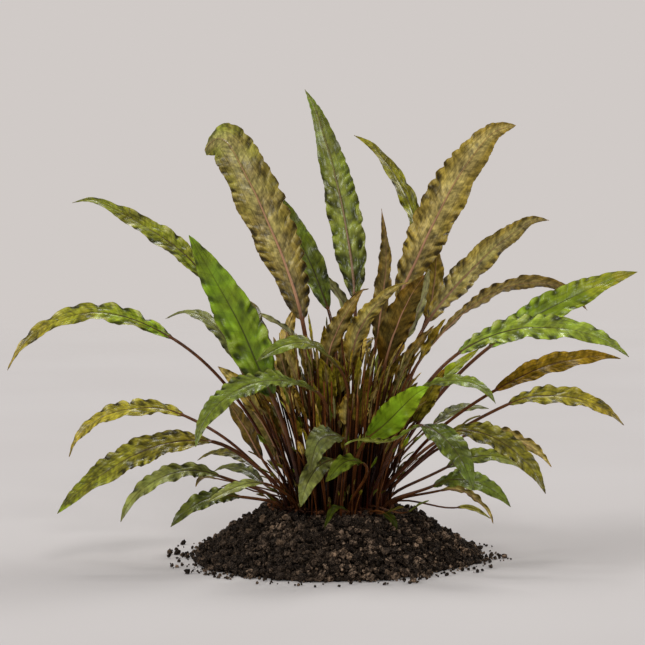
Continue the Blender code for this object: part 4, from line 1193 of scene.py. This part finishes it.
def strewn_tree():
    """Geometry Nodes that strew shapes over a surface, by its cover, and keep them off the ground below."""
    known = bpy.data.node_groups.get("Strewn grains")
    if known:
        return known
    inputs = {"Geometry": "Geometry", "Shapes": "Collection", "Spacing": "Float", "Smallest": "Float",
              "Largest": "Float", "Lift": "Float", "Scatter": "Float", "Seed": "Int", "Material": "Material"}
    n, given, result = new_group("Strewn grains", "GeometryNodeTree", inputs, {"Geometry": "Geometry"})
    cover = n.add("GeometryNodeInputNamedAttribute", {"Name": "cover"}, data_type="FLOAT")
    spots = n.add("GeometryNodeDistributePointsOnFaces",
                  {"Mesh": given["Geometry"], "Distance Min": given["Spacing"], "Density Max": DENSEST,
                   "Density Factor": cover, "Seed": given["Seed"]}, distribute_method="POISSON")
    bits = n.add("GeometryNodeCollectionInfo", {"Collection": given["Shapes"], "Separate Children": True,
                                                "Reset Children": True})

    def draw(low, high, seed, data_type="FLOAT"):
        return n.add("FunctionNodeRandomValue", {"Min": low, "Max": high, "Seed": seed}, data_type=data_type)

    turn = draw((0.0, 0.0, 0.0), (6.283, 6.283, 6.283), 3, "FLOAT_VECTOR")
    biased = n.math("POWER", draw(0.0, 1.0, 5), 1.4)
    span = n.minus(given["Largest"], given["Smallest"])
    size = n.plus(given["Smallest"], n.times(span, biased))
    rise = n.plus(given["Lift"], n.times(draw(-1.0, 1.0, 8), given["Scatter"]))
    push = n.add("ShaderNodeVectorMath", {0: spots.outputs["Normal"], "Scale": rise}, operation="SCALE")
    lifted = n.add("GeometryNodeSetPosition", {"Geometry": spots.outputs["Points"], "Offset": push})
    laid = n.add("GeometryNodeInstanceOnPoints", {"Points": lifted, "Instance": bits, "Pick Instance": True,
                                                  "Rotation": turn, "Scale": size})
    marked = n.add("GeometryNodeStoreNamedAttribute",
                   {"Geometry": laid, "Name": "grain", "Value": draw(0.0, 1.0, 9)},
                   data_type="FLOAT", domain="INSTANCE")
    real = n.add("GeometryNodeRealizeInstances", {"Geometry": marked})
    at = n.parts(n.add("GeometryNodeInputPosition"))
    resting = n.vector(at[0], at[1], n.math("MAXIMUM", at[2], 0.0))
    grounded = n.add("GeometryNodeSetPosition", {"Geometry": real, "Position": resting})
    finished = n.add("GeometryNodeSetMaterial", {"Geometry": grounded, "Material": given["Material"]})
    n.feed(result, "Geometry", finished)
    return n.tree


def strew(name, bed, **chosen):
    """A plain mesh of what the grain tree strews over a bed."""
    carrier = bpy.data.objects.new(name + "_bed", bed)
    bpy.context.scene.collection.objects.link(carrier)
    tree = strewn_tree()
    modifier = carrier.modifiers.new("Strewn", "NODES")
    modifier.node_group = tree
    for socket in tree.interface.items_tree:
        if socket.item_type == "SOCKET" and socket.in_out == "INPUT" and socket.name in chosen:
            modifier[socket.identifier] = chosen[socket.name]
    graph = bpy.context.evaluated_depsgraph_get()
    mesh = bpy.data.meshes.new_from_object(carrier.evaluated_get(graph))
    mesh.name = name
    bpy.data.objects.remove(carrier)
    if not mesh.polygons:
        raise RuntimeError(f"{name} came out empty")
    return mesh


def covered(mesh, cover):
    """The bed, marked with how thickly grains lie at each vertex."""
    made = mesh.attributes.new("cover", "FLOAT", "POINT")
    made.data.foreach_set("value", [cover(vertex.co) for vertex in mesh.vertices])
    return mesh


def drop_grains(name):
    """Clears away a collection of grain shapes once they are strewn."""
    group = bpy.data.collections[name]
    for shape in list(group.objects):
        bpy.data.objects.remove(shape)
    bpy.data.collections.remove(group)


class CRYPTOCORYNE_OT_soil(bpy.types.Operator):
    """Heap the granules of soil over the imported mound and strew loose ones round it"""

    bl_idname = "cryptocoryne.soil"
    bl_label = "Soil"

    def execute(self, context):
        soil = settings("soil")
        read = mound_reader()
        granule = rough_surface("soil_granule", soil.dark, soil.pale, 520.0, 0.60, soil.tan)
        rust = rough_surface("rust_bit", soil.rust, soil.tan, 900.0, 0.4, soil.tan)

        def sunk(name, depth):
            """The mound's surface, sunk this deep, as a closed mesh."""
            return polar_grid(name, MOUND_SHARES, MOUND_ANGLES, lambda *where: read(*where, depth))

        new_piece("soil_core", sunk("soil_core", CORE_DEPTH), granule, "soil", "soil_mound")
        grains = grain_shapes("granule_shapes", 26, 9, 0.60)
        crumbs = grain_shapes("crumb_shapes", 12, 7, 0.60)
        edges = {angle: float(np.hypot(*read(1.0, angle)[:2])) for angle in MOUND_ANGLES}

        def on_mound(point):
            if point.z < 0.2 * MM:
                return 0.0
            return float(smooth(math.hypot(point.x, point.y), 20 * MM, 33 * MM)) * 0.96 + 0.04

        def round_mound(share, angle):
            radius = edges[angle] - LOOSE_INSIDE + share * (soil.reach + LOOSE_INSIDE)
            return radius * math.cos(angle), radius * math.sin(angle), 0.1 * MM

        def thinning(point):
            bearing = math.atan2(point.y, point.x)
            angle = min(edges, key=lambda known: abs((known - bearing + math.pi) % TURN - math.pi))
            past = (math.hypot(point.x, point.y) - edges[angle]) / soil.reach
            if past < -0.1:
                return 0.1
            facing = 1.0 + 0.8 * smooth(-point.y, 20 * MM, 80 * MM)
            patch = np.clip(0.5 + 0.9 * noise.noise(Vector(point) * 38), 0.25, 1.0)
            return float(np.clip((0.55 * max(0.0, 1 - past) ** 3 + 0.18) * facing * patch, 0.0, 1.0))

        def near_feet(point):
            return 0.55 * float(smooth(math.hypot(point.x, point.y), 44 * MM, 28 * MM))

        def loose_bed(density):
            bed = ring_mesh("loose_bed", np.linspace(0, 1, 9), MOUND_ANGLES, round_mound)
            return covered(bed, lambda point: density * thinning(point))

        mound = covered(sunk("mound_bed", BED_DEPTH), on_mound)
        feet = covered(ring_mesh("rust_bed", np.linspace(0.28, 0.52, 7), MOUND_ANGLES,
                                 lambda *where: read(*where) + (0, 0, 0.4 * MM)), near_feet)

        def lay(name, bed, shapes, spacing, smallest, largest, lift, scatter, seed, finish=granule):
            """Strews one layer of grains over a bed and makes it a piece."""
            mesh = strew(name, bed, Shapes=shapes, Spacing=spacing, Smallest=smallest, Largest=largest,
                         Lift=lift, Scatter=scatter, Seed=seed, Material=finish)
            new_piece(name, mesh, finish, "soil")

        lay("soil_granules", mound, grains, soil.spacing, soil.smallest, soil.largest, 0.1 * MM, 1.8 * MM, 4)
        lay("soil_crumbs", mound, crumbs, soil.crumb_spacing, soil.crumb_smallest, soil.crumb_largest,
            0.3 * MM, 1.6 * MM, 11)
        lay("loose_crumbs", loose_bed(1.0), crumbs, 1.9 * MM, 0.8 * MM, 2.8 * MM, 0.5 * MM, 0.1 * MM, 17)
        lay("loose_granules", loose_bed(0.55), grains, 4.0 * MM, 2.3 * MM, 4.2 * MM, 1.1 * MM, 0.1 * MM, 23)
        lay("rust_bits", feet, crumbs, 2.4 * MM, 1.0 * MM, 3.2 * MM, 1.6 * MM, 0.8 * MM, 31, rust)
        drop_grains("granule_shapes")
        drop_grains("crumb_shapes")
        return {"FINISHED"}


def tube(points, radii, sides=7):
    """A closed tube through points, as an array of points and two of faces."""
    points = np.array(points)
    directions = unit(np.gradient(points, axis=0))
    across = unit(np.cross(directions, (0.31, 0.27, 0.91)))
    other = np.cross(directions, across)
    angles = np.linspace(0, TURN, sides, endpoint=False)
    rings = points[:, None] + np.array(radii)[:, None, None] * (
        across[:, None] * np.cos(angles)[None, :, None] + other[:, None] * np.sin(angles)[None, :, None])
    ends = np.stack([np.arange(sides)[::-1], np.arange(sides) + (len(points) - 1) * sides])
    return rings.reshape(-1, 3), band_faces(len(points), sides), ends


def root_bit(rng, radius, top):
    """A thin root that winds over a rootstock of this radius and then down towards the soil."""
    bearing = rng.uniform(0, TURN)
    start = radius * rng.uniform(0.35, 0.95)
    run = rng.uniform(6, 20) * MM
    heading = bearing + rng.uniform(-1.4, 1.4)
    steps = np.linspace(0, 1, 7)
    path = []
    for step in steps:
        heading += rng.uniform(-0.45, 0.45)
        x = start * math.cos(bearing) + run * step * math.cos(heading)
        y = start * math.sin(bearing) + run * step * math.sin(heading)
        rise = rng.uniform(-0.6, 0.6) + 3.4 * math.sin(math.pi * step)
        drop = max(0.0, math.hypot(x, y) - 0.9 * radius) * 0.55
        path.append((x, y, top - 1.5 * MM + rise * MM - drop))
    return tube(path, rng.uniform(0.35, 0.85) * MM * (1 - 0.6 * steps))


class CRYPTOCORYNE_OT_rootstock(bpy.types.Operator):
    """Shape the knobbly rootstock and the bits of root round the feet of the stalks"""

    bl_idname = "cryptocoryne.rootstock"
    bl_label = "Rootstock"

    def execute(self, context):
        rootstock = settings("rootstock")
        low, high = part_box("rootstock")
        radius = (high.x - low.x) / 2
        middle = (low + high) / 2

        def knobbly(share, angle):
            outward = Vector((math.cos(angle), math.sin(angle), 0))
            across = radius * share * (1 + 0.04 * math.sin(5 * angle + 0.6))
            spot = Vector((middle.x, middle.y, 0)) + outward * across
            knobs = noise.noise(spot * 190) + 0.6 * noise.noise(spot * 430)
            dome = 2.2 * MM * (1 - share**2) - 4.5 * MM * share**5
            return np.array((spot.x, spot.y, high.z - 1.0 * MM + dome + rootstock.knob * knobs))

        bark = rough_surface("rootstock_bark", rootstock.bark, rootstock.root, 260.0, 0.4)
        angles = np.linspace(0, TURN, 90, endpoint=False)
        mesh = polar_grid("rootstock_crown", np.linspace(0.03, 1, 30), angles, knobbly)
        for vertex in mesh.vertices:
            if vertex.co.z < low.z:
                vertex.co.z = low.z
        new_piece("rootstock_crown", mesh, bark, "rootstock", "rootstock")

        rng = seeded("root bits")
        mesh = joined("root_bits", [root_bit(rng, radius, high.z) for _ in range(rootstock.roots)])
        mesh.shade_smooth()
        skin = rough_surface("root_skin", rootstock.root, (0.26, 0.12, 0.07), 500.0, 0.2)
        new_piece("root_bits", mesh, skin, "rootstock")
        return {"FINISHED"}


def aimed(name, data, spot, towards):
    """A light or camera at a spot, turned to look in a direction."""
    made = bpy.data.objects.new(name, data)
    made.location = spot
    made.rotation_euler = towards.to_track_quat("-Z", "Y").to_euler()
    bpy.context.scene.collection.objects.link(made)
    return made


def lay_floor(stage):
    """A round floor that fades into the background far out."""
    angles = np.linspace(0, TURN, 96, endpoint=False)
    radii = np.concatenate([np.linspace(0.02, 0.3, 8), np.linspace(0.5, 4.0, 16)])
    mesh = ring_mesh("floor", radii, angles, lambda r, a: (r * math.cos(a), r * math.sin(a), -0.2 * MM))
    shaped = bmesh.new()
    shaped.from_mesh(mesh)
    hole = [edge for edge in shaped.edges if edge.is_boundary and edge.verts[0].co.length < 0.1]
    bmesh.ops.holes_fill(shaped, edges=hole)
    shaped.normal_update()
    shaped.to_mesh(mesh)
    shaped.free()
    made, nodes = new_material("floor_paper", stage.floor)
    where = nodes.add("ShaderNodeTexCoord").outputs["Object"]
    distance = nodes.add("ShaderNodeVectorMath", {0: where}, operation="LENGTH").outputs["Value"]
    fibres = nodes.step(nodes.noise(where, 3.0), 0.3, 0.7, 0.0, 0.05)
    tint = nodes.mix(fibres, stage.floor, (1.0, 1.0, 1.0))
    paper = nodes.add("ShaderNodeBsdfPrincipled",
                      {"Base Color": tint, "Roughness": 0.9, "Specular IOR Level": 0.1})
    clear = nodes.add("ShaderNodeBsdfTransparent")
    fading = nodes.add("ShaderNodeMixShader", {0: nodes.step(distance, 0.9, 2.4), 1: paper, 2: clear})
    nodes.add("ShaderNodeOutputMaterial", {"Surface": fading})
    mesh.materials.append(made)
    floor = bpy.data.objects.new("floor", mesh)
    bpy.context.scene.collection.objects.link(floor)


def set_world(stage):
    """An even fill light, behind which the viewer sees the background."""
    world = bpy.data.worlds.new("studio")
    bpy.context.scene.world = world
    world.use_nodes = True
    nodes = Nodes(world.node_tree)
    seen = nodes.add("ShaderNodeLightPath").outputs["Is Camera Ray"]
    lit = nodes.add("ShaderNodeBackground", {"Color": (1.0, 0.985, 0.97), "Strength": stage.fill})
    shown = nodes.add("ShaderNodeBackground", {"Color": stage.background, "Strength": 1.0})
    both = nodes.add("ShaderNodeMixShader", {0: seen, 1: lit, 2: shown})
    nodes.add("ShaderNodeOutputWorld", {"Surface": both})


class CRYPTOCORYNE_OT_stage(bpy.types.Operator):
    """Set up the pale floor, the soft light and the camera"""

    bl_idname = "cryptocoryne.stage"
    bl_label = "Stage"

    def execute(self, context):
        stage = settings("stage")
        lay_floor(stage)
        set_world(stage)
        suns = (("light_right", (0.81, 0.45, 0.52), 22, stage.key),
                ("light_left", (-0.89, -0.28, 0.45), 22, stage.side),
                ("light_front", (0.22, -0.84, 0.64), 14, stage.front),
                ("light_top", (-0.10, 0.55, 1.00), 20, stage.top))
        for name, spot, width, strength in suns:
            light = bpy.data.lights.new(name, "SUN")
            light.angle = math.radians(width)
            light.energy = strength
            aimed(name, light, spot, -Vector(spot))
        lens = bpy.data.cameras.new("camera")
        lens.sensor_width = 36.0
        lens.lens = stage.lens
        lens.clip_end = 100.0
        back = Vector((0, -math.cos(VIEW_TILT), math.sin(VIEW_TILT)))
        context.scene.camera = aimed("camera", lens, Vector(VIEW_TARGET) + back * VIEW_DISTANCE, -back)
        context.scene.view_settings.view_transform = "Standard"
        return {"FINISHED"}


OPERATORS = (
    CRYPTOCORYNE_OT_soil,
    CRYPTOCORYNE_OT_rootstock,
    CRYPTOCORYNE_OT_young_shoots,
    CRYPTOCORYNE_OT_small_leaves,
    CRYPTOCORYNE_OT_heart_leaves,
    CRYPTOCORYNE_OT_upright_leaves,
    CRYPTOCORYNE_OT_left_leaves,
    CRYPTOCORYNE_OT_right_leaves,
    CRYPTOCORYNE_OT_front_leaves,
    CRYPTOCORYNE_OT_back_leaves,
    CRYPTOCORYNE_OT_stage,
)


class CRYPTOCORYNE_PT_panel(bpy.types.Panel):
    """Lists what makes the plant, in order"""

    bl_idname = "CRYPTOCORYNE_PT_panel"
    bl_label = "Cryptocoryne clump"
    bl_space_type = "VIEW_3D"
    bl_region_type = "UI"
    bl_category = "Cryptocoryne"

    def draw(self, context):
        for operator in OPERATORS:
            self.layout.operator(operator.bl_idname)
        for kind in GROUPS:
            box = self.layout.box()
            box.label(text=kind.replace("_", " ").capitalize())
            group = settings(kind)
            for key in group.bl_rna.properties.keys():
                if key not in ("rna_type", "name"):
                    box.prop(group, key)


GROUPS = {
    "leaf": LeafSettings,
    "shoots": ShootSettings,
    "rootstock": RootstockSettings,
    "soil": SoilSettings,
    "stage": StageSettings,
    **FAMILIES,
}


def register():
    for kind, group in GROUPS.items():
        bpy.utils.register_class(group)
        setattr(bpy.types.Scene, "cryptocoryne_" + kind, bpy.props.PointerProperty(type=group))
    for operator in OPERATORS:
        bpy.utils.register_class(operator)
    bpy.utils.register_class(CRYPTOCORYNE_PT_panel)


def unregister():
    bpy.utils.unregister_class(CRYPTOCORYNE_PT_panel)
    for operator in reversed(OPERATORS):
        bpy.utils.unregister_class(operator)
    for kind, group in GROUPS.items():
        delattr(bpy.types.Scene, "cryptocoryne_" + kind)
        bpy.utils.unregister_class(group)


def main():
    register()
    for operator in OPERATORS:
        getattr(bpy.ops.cryptocoryne, operator.bl_idname.split(".")[1])()


if __name__ == "__main__":
    main()
